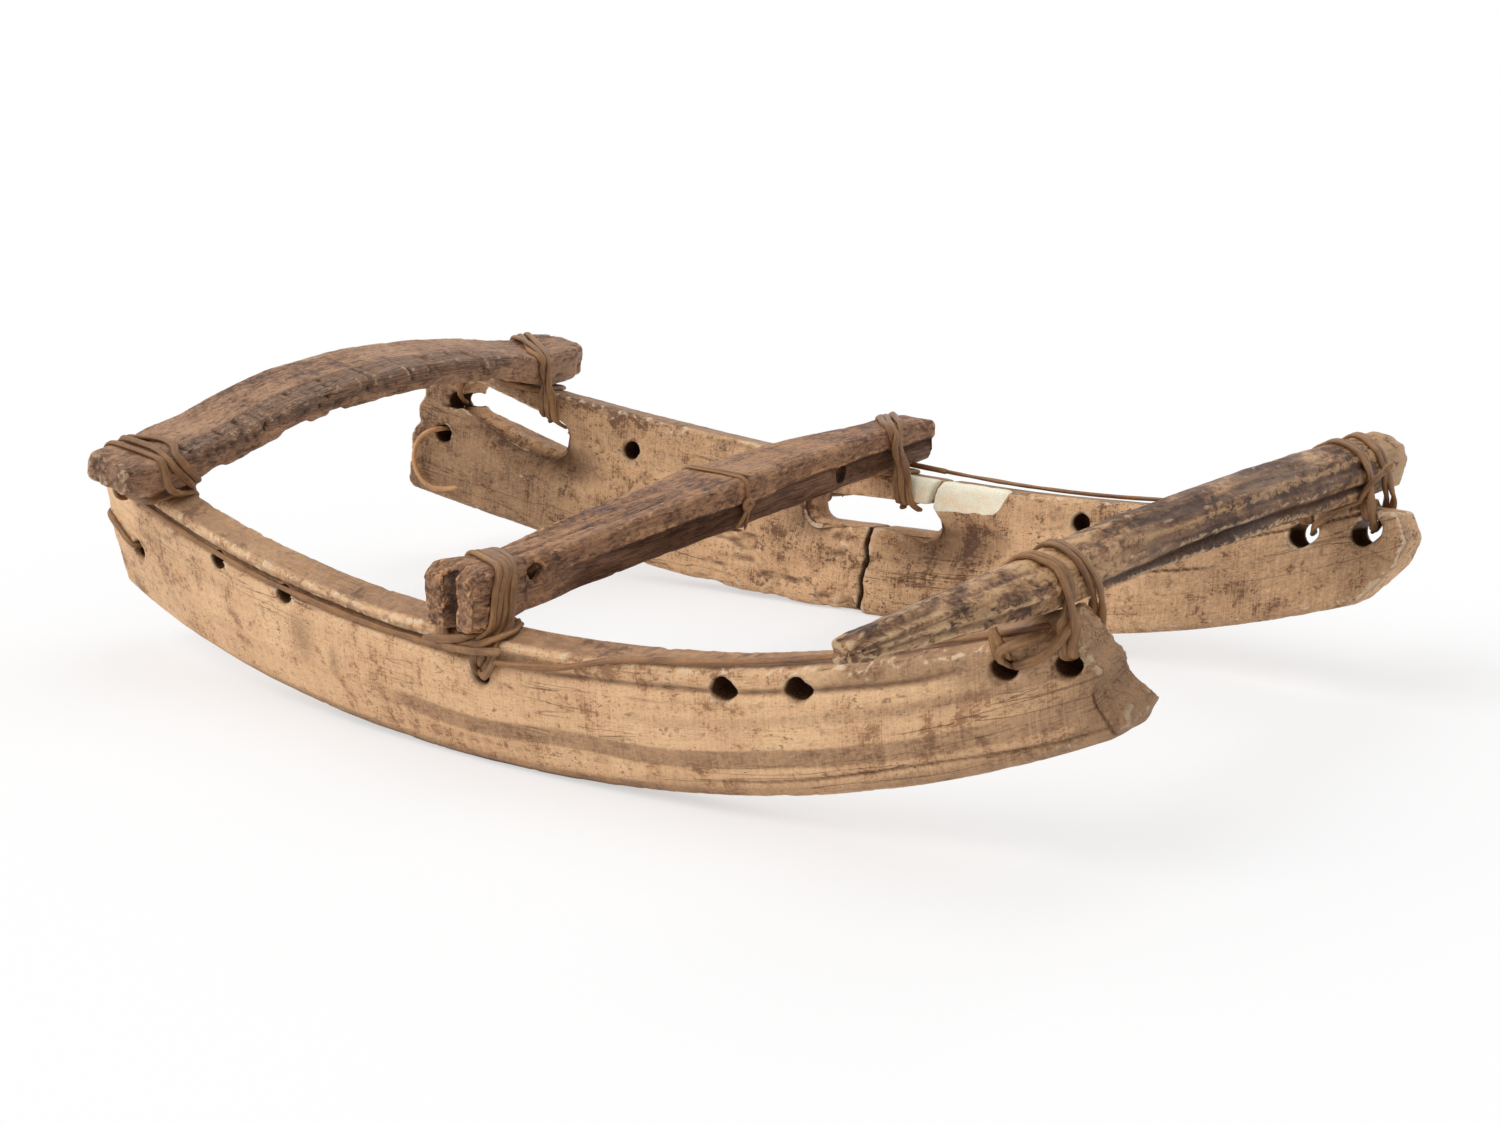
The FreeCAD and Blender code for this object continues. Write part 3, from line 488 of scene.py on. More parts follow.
def antler_finish(name):
    """Weathered antler: brown mottling along shallow ridges, pale rubbed crests and dark grooves."""
    f = Finish(name)
    f.dull_in_the_dark()
    blotch = f.noise(48, 4, 0.6, 0.5, stretch=(0.6, 1.0, 1.0))
    cloud = f.noise(150, 6, 0.68, 0.8, stretch=(0.6, 1.0, 1.0))
    mottle = f.noise(420, 5, 0.68, 0.6, stretch=(0.5, 1.0, 1.0))
    ridge = f.streaks((18, 260, 260), 5, 0.62, 0.5)
    speck = f.noise(1100, 3, 0.6, stretch=(0.5, 1.0, 1.0))
    tone = f.weigh((blotch, 0.26), (cloud, 0.28), (mottle, 0.22), (ridge, 0.17), (speck, 0.07))
    colour = f.ramp(tone, (0.445, rgb(66, 44, 32)), (0.475, rgb(108, 76, 53)), (0.51, rgb(156, 116, 82)),
                    (0.565, rgb(206, 166, 122)))
    brown = f.mix(f.band(ridge, 0.42, 0.58), rgb(66, 43, 33), rgb(110, 78, 56))
    colour = f.lay(colour, f.ragged("stain", mottle, 2.6, 0.28, 0.80), 0.75, brown)
    colour = f.lay(colour, f.ragged("fresh", mottle, 2.8, 0.45, 0.85), 0.70, rgb(196, 156, 112))
    # dirt and painted shade in hollows
    colour = f.lay(colour, f.attribute("hollow"), 0.8, rgb(62, 41, 31))
    colour = f.lay(colour, f.ragged("edge", mottle, 2.6, 0.45, 0.95), 0.65, rgb(214, 184, 146))
    colour = f.mix(f.attribute("dark"), colour, rgb(50, 34, 28))
    height = f.weigh((cloud, 0.45), (mottle, 0.5), (ridge, 0.6), (speck, 0.2))
    return f.done(colour, height, 1.2, f.band(blotch, 0.4, 0.6, 0.58, 0.44))


def hide_finish(name, light, mid, dark):
    """Dried hide thong: golden brown, darker where it is thick, with lengthwise wrinkles."""
    f = Finish(name, specular=0.4)
    blotch = f.noise(70, 4, 0.6)
    wrinkle = f.streaks((60, 1500, 1), 4, 0.6, 0.6)
    fine = f.streaks((500, 900, 1), 3, 0.6)
    tone = f.weigh((blotch, 0.45), (wrinkle, 0.40), (fine, 0.15))
    colour = f.ramp(tone, (0.34, dark), (0.48, mid), (0.62, light))
    colour = f.lay(colour, f.band(wrinkle, 0.60, 0.70), 0.5, dark)
    height = f.weigh((wrinkle, 0.7), (fine, 0.25), (blotch, 0.3))
    return f.done(colour, height, 0.35, f.band(blotch, 0.4, 0.6, 0.42, 0.58))


BONE_NEAR = bone_finish("bone_near", light=rgb(238, 196, 152), mid=rgb(219, 175, 133), dark=rgb(160, 119, 86),
                        stain=rgb(116, 86, 66), top=rgb(140, 109, 86), mottling=0.60, freckles=0.60)
BONE_FAR = bone_finish("bone_far", light=rgb(234, 191, 147), mid=rgb(204, 162, 122), dark=rgb(120, 87, 64),
                       stain=rgb(84, 61, 48), top=rgb(150, 124, 102), mottling=0.74, freckles=0.9)
BOARD_WOOD = wood_finish("board_wood", light=rgb(184, 146, 117), mid=rgb(152, 117, 92), dark=rgb(98, 72, 56),
                         stain=rgb(84, 72, 66), pale=rgb(204, 172, 142))
BAR_WOOD = wood_finish("bar_wood", light=rgb(178, 136, 102), mid=rgb(140, 102, 77), dark=rgb(82, 57, 45),
                       stain=rgb(80, 53, 43), pale=rgb(222, 168, 118))
ANTLER = antler_finish("antler")
HIDE = hide_finish("hide", light=rgb(174, 130, 86), mid=rgb(134, 96, 62), dark=rgb(76, 50, 33))
THIN_HIDE = hide_finish("thin_hide", light=rgb(174, 128, 84), mid=rgb(140, 98, 62), dark=rgb(92, 60, 40))
LOOSE_HIDE = hide_finish("loose_hide", light=rgb(222, 176, 126), mid=rgb(196, 146, 98),
                         dark=rgb(146, 100, 64))


# ---- runners
# In what follows g holds each point's place in the grain, and amount is how far it moves outward.
def round_holes(places, radius):
    return [(x, height, 0.0, radius) for x, height in places]


def inside_holes(g, thickness, holes):
    """1 on the walls of these holes, less at the faces; the finish paints shade there. Each: x, height, half
    its straight part, radius.
    """
    along, depth, up = g.T
    deep = ease(0.4, 2.4, depth) * ease(thickness - 0.4, thickness - 2.4, depth)
    mask = 0.0 * along
    for x, height, straight, radius in holes:
        away = np.hypot(np.maximum(np.abs(along - x) - straight, 0.0), up - height)
        mask = np.maximum(mask, ease(radius + 1.1, radius + 0.5, away) * (0.35 + 0.65 * deep))
    return mask


def bone_surface(skin, g, seed):
    """What every runner piece has: hand-worked unevenness, long fibres and nibbled edges."""
    skin.smooth(3)
    amount = unevenness(g, seed, (0.45, (70, 40, 26)), (0.20, (16, 9, 7)), (0.10, (26, 2.6, 2.2)))
    return amount - 1.1 * skin.nibbled(g, 0.22, seed + 3)


def carve_right_runner():
    skin = Skin("right_runner", voxel=1.0)
    g = RIGHT.coordinates(skin.p)
    along, depth, up = g.T
    below = RIGHT.plank_height(along) - up
    outer = ease(6.0, 1.0, depth)
    amount = bone_surface(skin, g, 11)
    # chips along the rim, a worn crest in front of mid length, dents at the small holes, a crack low in front
    rim_zone = ease(4.0, 1.5, below) * ease(5.0, 1.0, depth)
    amount -= 1.3 * rim_zone * ease(0.05, 0.45, layered(g, (10, 30, 30), 12)) * ease(-235, -220, along)
    ledge = bell(below - 8.5 - 1.2 * wander(g, 30, 13), 1.6) * outer
    ledge *= ease(20, 55, along) * ease(205, 180, along)
    amount -= 1.1 * ledge
    for x, _ in RIGHT_SMALL_HOLES:
        amount -= 2.2 * outer * blob(along, below, x + 2, 12.0, 5.5, 4.5, 25)
    low_crack = bell(up - 7.0 - 2.2 * wander(g, 60, 14), 0.7) * outer
    low_crack *= ease(100, 125, along) * ease(246, 240, along)
    amount -= 0.5 * low_crack
    skin.push(amount)
    # the nose: hollow above a blunt beak
    skin.p[:, 0] -= 4.5 * blob(along, up, 246.5, 15.0, 13.0, 9.5, -60)
    skin.p[:, 0] -= 3.0 * ease(238, 249, along) * ease(4.0, -1.0, up)
    skin.p[:, 0] -= 0.5 * np.maximum(0.0, skin.p[:, 0] - 246.0)
    # stains: streaks along the outer face, smudges, the sole, the nose, the groove and the front rim
    wobble = 1.6 * wander(g, 45, 31)
    streak = ease(5.0, 2.0, np.abs(up - 17.5 - wobble + 3.0 * along / HALF)) * ease(-70, -10, along)
    faint = ease(3.5, 1.0, np.abs(up - 30.0 - wobble)) * ease(40, 90, along)
    low = ease(9.0, 3.0, up + wobble) * ease(-60, 10, along)
    smudge = 0.75 * blob(along, up, -92, 30, 13, 17) + 0.7 * blob(along, up, -74, 25, 6, 12)
    sole = ease(7.0, 2.0, up) * ease(-220, -60, along) * ease(150, 60, along)
    nose = 1.2 * ease(226, 244, along) + 0.42 * ease(140, 225, along)
    crack = bell(along - 240.0 + 0.28 * (up - 8.0), 0.8) * ease(22, 18, up) * outer
    under = ease(1.0, 3.5, below) * ease(11.0, 8.0, below) * outer * ease(60, 20, along)
    under *= 0.45 + 0.5 * ease(-190, -90, along)
    front_rim = 1.1 * ease(9.5, 7.5, below) * outer * ease(120, 185, along)
    front_rim += (0.9 * ease(24.0, 9.0, below) * ease(178, 214, along)
                  * (0.6 + 0.4 * noise(g, (9, 9, 9), 15)))
    on_face = strongest(1.15 * streak, 0.45 * faint, 0.55 * low, smudge, 1.3 * sole, under, front_rim)
    dark_sole = ease(3.0, 0.5, up) * ease(-150, -60, along) * ease(90, 40, along)
    # painted shade in the groove under the top lip, from the rear end to mid length
    groove_painted_shade = outer * ease(7.5, 5.4, below) * ease(4.6, 5.4, below) * ease(30, 0, along)
    # painted shade inside the holes
    places = (RIGHT_REAR_HOLE, RIGHT_MIDDLE_HOLE, *RIGHT_FRONT_HOLES, *RIGHT_LINE_HOLES)
    holes = inside_holes(g, RIGHT.thickness,
                         round_holes(places, HOLE) + round_holes(RIGHT_SMALL_HOLES, SMALL_HOLE))
    skin.piece(
        "ivory", BONE_NEAR, g,
        stain=outer * on_face + nose + 0.5 * ledge,
        top=ease(2.2, 0.6, below) * ease(0.8, 3.6, depth) * (0.75 + 0.25 * ease(-120, -40, along)),
        fresh=(ease(0.50, 0.62, noise(g, (5, 4, 4), 77)) * ease(4.0, 1.5, up) * ease(4.0, 1.0, depth)
               * blob(along, 0.0, -45, 0.0, 75, 1)),
        dark=strongest(0.35 * blob(along, up, 250, 4, 14, 12), 0.34 * ease(226, 244, along), 0.4 * dark_sole,
                       0.85 * crack, 0.4 * low_crack, 0.6 * groove_painted_shade, holes))
    return skin


def carve_left_runner(node):
    skin = Skin(node, voxel=1.0)
    g = LEFT.coordinates(skin.p)
    along, depth, up = g.T
    below = LEFT.plank_height(along) - up
    inner = ease(10.0, 16.0, depth)
    amount = bone_surface(skin, g, 21)
    # scoops round the slots: how deep, then the place, radii and turn of each
    scoops = ((6.5, -188, 36, 36, 14, -8), (3.0, -160, 40, 20, 20), (4.5, -34, 38, 22, 13),
              (6.5, 34, 33, 36, 15, 8))
    hollow = sum(deep * blob(along, up, *shape) for deep, *shape in scoops)
    hollow += 1.6 * ease(0.1, 0.5, layered(g, (16, 30, 8), 26)) * ease(30, 12, np.abs(along + 50) - 25)
    amount -= inner * hollow
    amount -= 1.5 * ease(5.0, 1.5, below) * inner * ease(0.0, 0.45, layered(g, (12, 30, 30), 27))
    # cracks: one from the rear slot to the rear holes, long ones near the front
    crack = bell(up - 45.0 - 0.12 * (along + 226) - 0.8 * wander(g, 8, 28), 0.55)
    crack *= ease(-236, -230, along) * ease(-212, -218, along)
    for height, first, last in ((40.0, 125, 215), (33.0, 150, 245), (46.0, 180, 240), (22.0, 60, 170)):
        line = bell(up - height - 2.5 * wander(g + height, 50, 29), 0.5)
        crack = np.maximum(crack, 0.7 * line * ease(first, first + 15, along) * ease(last, last - 15, along))
    crack *= inner
    amount -= 1.0 * crack
    # the torn edges of the break, and a chip out of its foot
    break_x = np.interp(up, (-8.0, 8.0, 14.0, 24.0, 30.0, 40.0), (-7.0, -4.0, -5.0, -2.5, -4.0, -1.0))
    torn = bell(along - break_x, 1.3) * ease(45.0, 41.0, up)
    amount -= 0.5 * torn
    amount -= 4.5 * inner * blob(along, up, -11.0, -1.0, 7.0, 7.0)
    skin.push(amount)
    # bites out of the rear edge
    for height, size in ((30.0, 3.0), (44.0, 2.2), (13.0, 1.8)):
        bite = size * bell(up - height - 2.0 * noise(g, (STEADY, 6, STEADY), 94), 3.0)
        skin.p[:, 0] += bite * ease(-240, -247, along) * (0.3 + 0.7 * inner)
    # stains, and painted shade in the scooped hollows round the slots: how dark, then the place, radii and
    # turn of each
    spots = ((0.9, -186, 32, 38, 16, -10), (0.8, -158, 36, 22, 18), (0.8, -36, 36, 22, 14),
             (0.95, 38, 33, 42, 15, 6), (0.5, 90, 48, 30, 14), (0.5, -210, 40, 16, 16),
             (0.6, 238, 28, 22, 26), (0.55, -225, 30, 22, 34))
    stains_and_shade = strongest(*(share * blob(along, up, *shape) for share, *shape in spots),
                       0.85 * ease(-120, -200, along), 0.55 * ease(90, 150, along), 0.35 * ease(38, 48, up))
    # the fresh break over the middle slot
    edge_x = 60.0 + 0.55 * (up - 48.0) + 2.0 * noise(g, (STEADY, STEADY, 4), 91)
    fresh = ease(edge_x + 0.7, edge_x - 0.7, along) * ease(8.0, 9.0, along)
    fresh *= ease(48.2, 49.2, up + 0.8 * noise(g, (5, 5, 5), 92))
    ovals = [(x, height, OVAL_STRAIGHT, OVAL_HOLE) for x, height in LEFT_FRONT_HOLES]
    burnt = inner * blob(along, up, 52, 35, 24, 9, 10) * ease(-0.2, 0.5, layered(g, (14, 14, 7), 93))
    skin.piece(
        "ivory", BONE_FAR, g,
        stain=inner * stains_and_shade,
        top=0.8 * ease(2.2, 0.6, below) * ease(16.5, 14.0, depth),
        fresh=inner * fresh,
        # dark: cracks, the torn break and a burnt patch, with painted shade in the rear slot's scoop and
        # inside the holes
        dark=strongest(0.9 * crack, 0.8 * torn, 0.55 * burnt,
                       0.5 * inner * blob(along, up, -168, 36, 20, 12, -10),
                       inside_holes(g, LEFT.thickness, round_holes(LEFT_ROUND_HOLES, HOLE) + ovals)))
    return skin


# ---- crosspieces
def bar_grain(skin, x):
    """Coordinates of a crosspiece: along it, across it and up from the mean height of its slice."""
    along = skin.p[:, 1]
    bins = np.round(along / 4.0).astype(int)
    bins -= bins.min()
    middle = np.bincount(bins, skin.p[:, 2]) / np.maximum(np.bincount(bins), 1)
    return np.column_stack((along, skin.p[:, 0] - x, skin.p[:, 2] - middle[bins]))


def round_arch(skin):
    """Takes the corners out of a bar's line: each slice moves to the smoothed height of its neighbours."""
    along, z = skin.p[:, 1], skin.p[:, 2]
    places = np.arange(along.min(), along.max() + 2.0, 2.0)
    bins = np.clip(np.round((along - places[0]) / 2.0).astype(int), 0, len(places) - 1)
    high, low = np.full(len(places), -1e9), np.full(len(places), 1e9)
    np.maximum.at(high, bins, z)
    np.minimum.at(low, bins, z)
    middle = 0.5 * (high + low)
    even = middle.copy()
    for _ in range(160):
        even[1:-1] = 0.25 * even[:-2] + 0.5 * even[1:-1] + 0.25 * even[2:]
    between = ease(-108.0, -88.0, along) * ease(132.0, 112.0, along)
    skin.p[:, 2] += np.interp(along, places, even - middle) * between


def carve_rear_board():
    skin = Skin("rear_crosspiece", voxel=0.9)
    round_arch(skin)
    g = bar_grain(skin, REAR_X)
    along, across, up = g.T
    skin.smooth(3)
    near_end = ease(-108.0, -118.0, along)
    amount = unevenness(g, 41, (0.5, (60, 30, 20)), (0.3, (20, 10, 8)), (0.16, (24, 2.4, 2.4)))
    amount -= 0.8 * skin.nibbled(g, 0.15, 44)
    # the front face was left rough: chisel scallops that break the upper edge, and crumbled ends
    slanted = np.column_stack((along + 0.45 * up, across, up))
    cuts = noise(slanted, (3.6, 60, 24), 48) + 0.7 * noise(slanted, (7.5, 60, 14), 50)
    hewn = ease(8.0, 12.5, across) * ease(-108, -92, along) * ease(125, 85, along)
    rough = hewn * (0.22 + 0.78 * ease(-5.0, -1.0, up + 2.5 * wander(g, 22, 40)))
    amount -= rough * (0.9 * np.clip(cuts, -0.6, 1.2) + 1.3 * ease(-0.1, 0.6, layered(g, (5, 12, 5), 45)))
    amount -= 1.5 * hewn * ease(-4, -9, up) * ease(0.0, 0.5, wander(g, 9, 39))
    amount -= (0.9 * near_end + 1.2 * ease(150, 165, along)) * ease(-0.1, 0.5, layered(g, (6, 4, 4), 46))
    amount -= 1.0 * near_end * ease(2.0, -3.0, up) * np.maximum(0.0, layered(g, (5.0, 3.4, 7.0), 49))
    skin.push(amount)
    # the dark mask: dirt and painted shade in small hollows of the rough face and the near end
    low = skin.small_hollows()
    skin.piece(
        "board_wood", BOARD_WOOD, g,
        stain=(np.maximum(1.1 * ease(0.30, 0.70, rough), 0.25 * near_end)
               + 0.3 * ease(-90, -120, along) * ease(0, 10, across) + 0.2 * ease(110, 130, along)),
        dark=np.maximum(0.7 * rough * low, 0.3 * near_end * low))
    return skin


def carve_middle_bar():
    skin = Skin("middle_crosspiece", voxel=0.85)
    g = bar_grain(skin, MIDDLE_X)
    along, across, up = g.T
    skin.smooth(2)
    front = ease(6.0, 9.0, across)
    near_end = ease(-118.0, -128.0, along)
    # the lower band of the front face: set back as a ledge, and darkened by stain and painted shade
    ledge = ease(1.2, -0.6, up + 1.5 * noise(g, (40, 90, 90), 57)) * front * ease(-85, -60, along)
    amount = unevenness(g, 51, (0.5, (50, 30, 20)), (0.35, (18, 10, 8)), (0.22, (26, 2.6, 2.6)))
    amount -= 1.0 * skin.nibbled(g, 0.10, 54)
    amount -= 1.5 * ledge
    # splinters raised along the top of the near half, and a worn edge at the back
    amount -= 0.9 * ease(0.0, 0.5, layered(g, (30, 3.2, 3.2), 58)) * ease(10, -20, along)
    back = ease(-9.0, -13.0, across) * ease(-0.1, 0.5, layered(g, (7, 9, 9), 59))
    amount -= 1.6 * back * ease(20, -10, along)
    # the near end is split by a deep notch into two lobes
    split = bell(across - 1.5 + 0.8 * noise(g, (9, 9, 9), 60), 2.1) * near_end
    amount -= 3.0 * split
    amount -= 1.0 * near_end * ease(-0.1, 0.5, layered(g, (7, 4, 7), 56))
    skin.push(amount)
    # dark mask: painted shade in the small hollows of the near half, in the split and on the ledge, where
    # stain lies too
    low = skin.small_hollows() * ease(0, -40, along) * (1.0 - near_end)
    skin.piece(
        "bar_wood", BAR_WOOD, g,
        stain=0.8 * ledge + 0.2 * front * ease(-20, -60, along) * (1.0 - near_end),
        dark=strongest(0.6 * ledge * ease(-0.4, 0.5, layered(g, (30, 30, 6), 55)), 0.6 * split, 0.5 * low))
    return skin


def carve_front_bar():
    skin = Skin("front_crosspiece", voxel=0.85)
    g = bar_grain(skin, FRONT_X)
    along, across, up = g.T
    skin.smooth(4)
    angle = np.arctan2(up, across)
    tip = ease(-125.0, -175.0, along)
    shaft = ease(-70, -20, along)
    tan_end = ease(150, 168, along)
    # seven facets, a deep groove along the front and fine ridges
    facets = np.cos(angle * 7.0 + 1.2 * wander(g, 60, 61))
    groove = bell(angle + 0.42 + 0.10 * wander(g, 35, 62), 0.17)
    groove *= ease(-75, -50, along) * ease(168, 150, along)
    ridges = layered(np.column_stack((along, angle * 14.0, angle * 0.0)), (36, 2.4, 5), 68)
    amount = unevenness(g, 63, (0.55, (55, 30, 20)), (0.35, (14, 5, 5)), (0.16, (26, 2.2, 2.2)))
    amount += (0.25 + 0.25 * tip) * facets
    amount -= 1.8 * groove
    amount += 0.55 * ridges * ease(-165, -150, along) * ease(165, 150, along)
    skin.push(amount)
    # pale lines along the crest and under the groove
    crest = bell(angle - 0.75 - 0.12 * wander(g, 50, 69), 0.20) * shaft
    low_edge = bell(angle + 0.78 - 0.10 * wander(g, 40, 70), 0.16)
    low_edge *= ease(-75, -50, along) * ease(150, 120, along)
    patches = shaft * (1 - tan_end) * ease(-0.45, 0.15, layered(g, (34, 9, 9), 66)) * (1 - 0.7 * crest)
    skin.piece(
        "antler", ANTLER, g,
        stain=groove + patches + 0.3 * tip + 0.5 * shaft * ease(0.9, 0.3, angle) * ease(-0.3, 0.1, angle),
        fresh=(0.9 * (1.0 - shaft) * ease(-0.25, 0.4, layered(g, (26, 7, 7), 67)) + 0.75 * crest
               + 0.9 * tan_end + 0.7 * low_edge),
        dark=0.5 * groove * shaft)
    return skin


SKINS = {
    "right_runner": carve_right_runner(),
    "left_runner_rear": carve_left_runner("left_runner_rear"),
    "left_runner_front": carve_left_runner("left_runner_front"),
    "rear_crosspiece": carve_rear_board(),
    "middle_crosspiece": carve_middle_bar(),
    "front_crosspiece": carve_front_bar(),
}
TREES = {name: skin.tree() for name, skin in SKINS.items()}


# ---- thongs: how a strand is pulled tight and swept
def resample(points, step):
    points = np.asarray(points, float)
    along = np.concatenate(((0.0,), np.cumsum(np.linalg.norm(np.diff(points, axis=0), axis=1))))
    count = max(4, int(round(along[-1] / step)) + 1)
    wanted = np.linspace(0.0, along[-1], count)
    return np.column_stack([np.interp(wanted, along, axis) for axis in points.T])


class Strand:
    """One thong. hold is how strongly it keeps its place along X and Y while it is pulled tight."""

    def __init__(self, node, points, width=3.2, thick=1.9, hold=(0.01, 0.03), tight=1.0):
        self.node, self.width, self.thick, self.hold, self.tight = node, width, thick, hold, tight
        self.points = np.array(points, float)
        self.home = self.points.copy()

    def set_step(self, step):
        self.points = resample(self.points, step)
        home = resample(self.home, step)
        places = np.linspace(0, len(home) - 1, len(self.points))
        self.home = np.column_stack([np.interp(places, np.arange(len(home)), axis) for axis in home.T])
        self.normal = np.zeros_like(self.points)

    def pull(self):
        p = self.points
        p[1:-1] += 0.5 * self.tight * (0.5 * (p[:-2] + p[2:]) - p[1:-1])
        for axis, hold in enumerate(self.hold):
            p[1:-1, axis] += hold * (self.home[1:-1, axis] - p[1:-1, axis])

    def keep_out(self, trees):
        """Moves points out of the pieces that the strand lies on, and notes which way is off the surface."""
        rest = self.thick / 2 - 0.1
        for i, p in enumerate(self.points):
            nearest = None
            for tree in trees:
                place, normal, _, distance = tree.find_nearest(p, 7.0)
                if place is None:
                    continue
                off = Vector(p) - place
                inside = off.dot(normal) < 0.0
                depth = -distance if inside else distance
                if nearest is None or depth < nearest[0]:
                    way = normal if inside or distance < 1e-6 else off / distance
                    nearest = (depth, place, way)
            if nearest is None:
                continue
            depth, place, way = nearest
            self.normal[i] = way
            if depth < rest and 0 < i < len(self.points) - 1:
                self.points[i] = place + way * rest


def part_strands(strands, step):
    """Moves overlapping strands apart: by their width side by side, by their thickness on each other."""
    p = np.concatenate([s.points for s in strands])
    n = np.concatenate([s.normal for s in strands])
    owner = np.concatenate([np.full(len(s.points), k) for k, s in enumerate(strands)])
    index = np.concatenate([np.arange(len(s.points)) for s in strands])
    width = np.concatenate([np.full(len(s.points), s.width) for s in strands])
    delta = p[:, None, :] - p[None, :, :]
    along_normal = (delta * n[:, None, :]).sum(2)
    flatness = 1.5
    square = (delta ** 2).sum(2)
    apart = np.sqrt(np.maximum(square + (flatness ** 2 - 1.0) * along_normal ** 2, 1e-9))
    wanted = 0.48 * (width[:, None] + width[None, :])
    same_stretch = (owner[:, None] == owner[None, :]) & (np.abs(index[:, None] - index[None, :]) * step < 8.0)
    close = (apart < wanted) & ~same_stretch
    push = np.where(close, (wanted - apart) * 0.25, 0.0) / np.sqrt(np.maximum(square, 1e-9))
    move = (delta * push[:, :, None]).sum(1)
    move *= np.minimum(1.0, 0.6 / np.maximum(np.linalg.norm(move, axis=1, keepdims=True), 1e-9))
    start = 0
    for s in strands:
        end = start + len(s.points)
        s.points[1:-1] += move[start + 1:end - 1]
        start = end


def settle(strands, nodes):
    """Pulls a group of strands tight round the pieces that they lie on."""
    trees = [TREES[n] for n in nodes]
    for step, rounds in ((5.0, 30), (2.6, 40), (1.5, 45)):
        for s in strands:
            s.set_step(step)
        for _ in range(rounds):
            for s in strands:
                s.pull()
                s.keep_out(trees)
            if step < 3.0:
                part_strands(strands, step)
    for s in strands:
        s.keep_out(trees)


def sweep(strand, seed):
    """A flattened, slightly uneven strip along the strand, with tapered ends."""
    sides = 12
    p, n = strand.points, strand.normal.copy()
    for _ in range(6):
        n[1:-1] = 0.25 * n[:-2] + 0.5 * n[1:-1] + 0.25 * n[2:]
    t = np.gradient(p, axis=0)
    t /= np.maximum(np.linalg.norm(t, axis=1, keepdims=True), 1e-9)
    n -= t * (n * t).sum(1, keepdims=True)
    weak = np.linalg.norm(n, axis=1) < 0.15
    n[weak] = np.cross(t[weak], (0.3, 0.2, 0.9))
    n /= np.maximum(np.linalg.norm(n, axis=1, keepdims=True), 1e-9)
    s = np.concatenate(((0.0,), np.cumsum(np.linalg.norm(np.diff(p, axis=0), axis=1))))
    q = np.column_stack((s, np.full_like(s, seed * 13.7), np.zeros_like(s)))
    twist = 0.35 * noise(q, 16.0, seed)[:, None]
    side = np.cross(t, n)
    n, side = n * np.cos(twist) + side * np.sin(twist), side * np.cos(twist) - n * np.sin(twist)
    taper = 0.25 + 0.75 * np.sqrt(np.clip(np.minimum(s, s[-1] - s) / 2.0, 0.0, 1.0))
    width = 0.5 * strand.width * (1.0 + 0.16 * noise(q, 9.0, seed + 1)) * taper
    thick = 0.5 * strand.thick * (1.0 + 0.12 * noise(q, 7.0, seed + 2)) * taper
    lines, grain = [], []
    for k in range(sides):
        angle = 2.0 * math.pi * k / sides
        u, v = (math.copysign(abs(c) ** 0.8, c) for c in (math.cos(angle), math.sin(angle)))
        uneven = 1.0 + 0.05 * noise(q + (0, 40.0 * k, 0), 5.0, seed + 3)
        lines.append(p + side * (width * u * uneven)[:, None] + n * (thick * v * uneven)[:, None])
        round_it, own = np.full_like(s, angle * strand.width * 0.4), np.full_like(s, seed * 7.0)
        grain.append(np.column_stack((s, round_it, own)))
    last = (len(p) - 1) * sides
    faces = [(i + k, i + (k + 1) % sides, i + sides + (k + 1) % sides, i + sides + k)
             for i in range(0, last, sides) for k in range(sides)]
    faces += [tuple(range(sides))[::-1], tuple(range(last, last + sides))]
    return np.stack(lines, 1).reshape(-1, 3), faces, np.stack(grain, 1).reshape(-1, 3)


def thong_piece(name, strands, node, material, seed):
    """One piece of one or more swept strands, in place of a CAD node."""
    points, faces, grain, base = [], [], [], 0
    for k, strand in enumerate(strands):
        strip_points, strip_faces, strip_grain = sweep(strand, seed + 5 * k)
        points.append(strip_points)
        grain.append(strip_grain)
        faces += [tuple(i + base for i in face) for face in strip_faces]
        base += len(strip_points)
    mesh = bpy.data.meshes.new(name)
    mesh.from_pydata((np.concatenate(points) * MM).tolist(), [], faces)
    mesh.update()
    return make_piece(name, mesh, node, material, np.concatenate(grain), {})


# ---- thongs: the route of each, before it is pulled tight
class Bar:
    """Where a strand turns round a crosspiece."""

    def __init__(self, node):
        self.p = SKINS[node].p

    def corner(self, y, front, top, off=2.5):
        near = self.p[np.abs(self.p[:, 1] - y) < 1.5]
        out = np.array((1.0 if front else -1.0, 0.0, 1.0 if top else -1.0))
        found = near[np.argmax(near @ out)].copy()
        found[1] = y
        return found + out * off

    def over(self, y_first, y_last, front_first, off, y_end=None):
        """Up one face at y_first, over the top to y_last, down the other face to y_end or else y_last."""
        y_end = y_last if y_end is None else y_end
        front_last = not front_first
        return [self.corner(y_first, front_first, False, off), self.corner(y_first, front_first, True, off),
                self.corner(y_last, front_last, True, off), self.corner(y_end, front_last, False, off)]


REAR_BAR, MIDDLE_BAR, FRONT_BAR = Bar("rear_crosspiece"), Bar("middle_crosspiece"), Bar("front_crosspiece")


def face(runner, outer, x, up, off=2.5):
    """A place off one face of a plank."""
    return runner.point(x, -off - 1.0 if outer else runner.thickness + off, up)


def rim(runner, outer, x, off=2.5):
    """A place off one top edge of a plank."""
    return runner.top(x, -off if outer else runner.thickness + off, off)


def seat_y(runner, x, outer, beyond):
    """y of a strand that hangs beyond a runner's top edge by that much."""
    return runner.top(x, -beyond if outer else runner.thickness + beyond)[1]


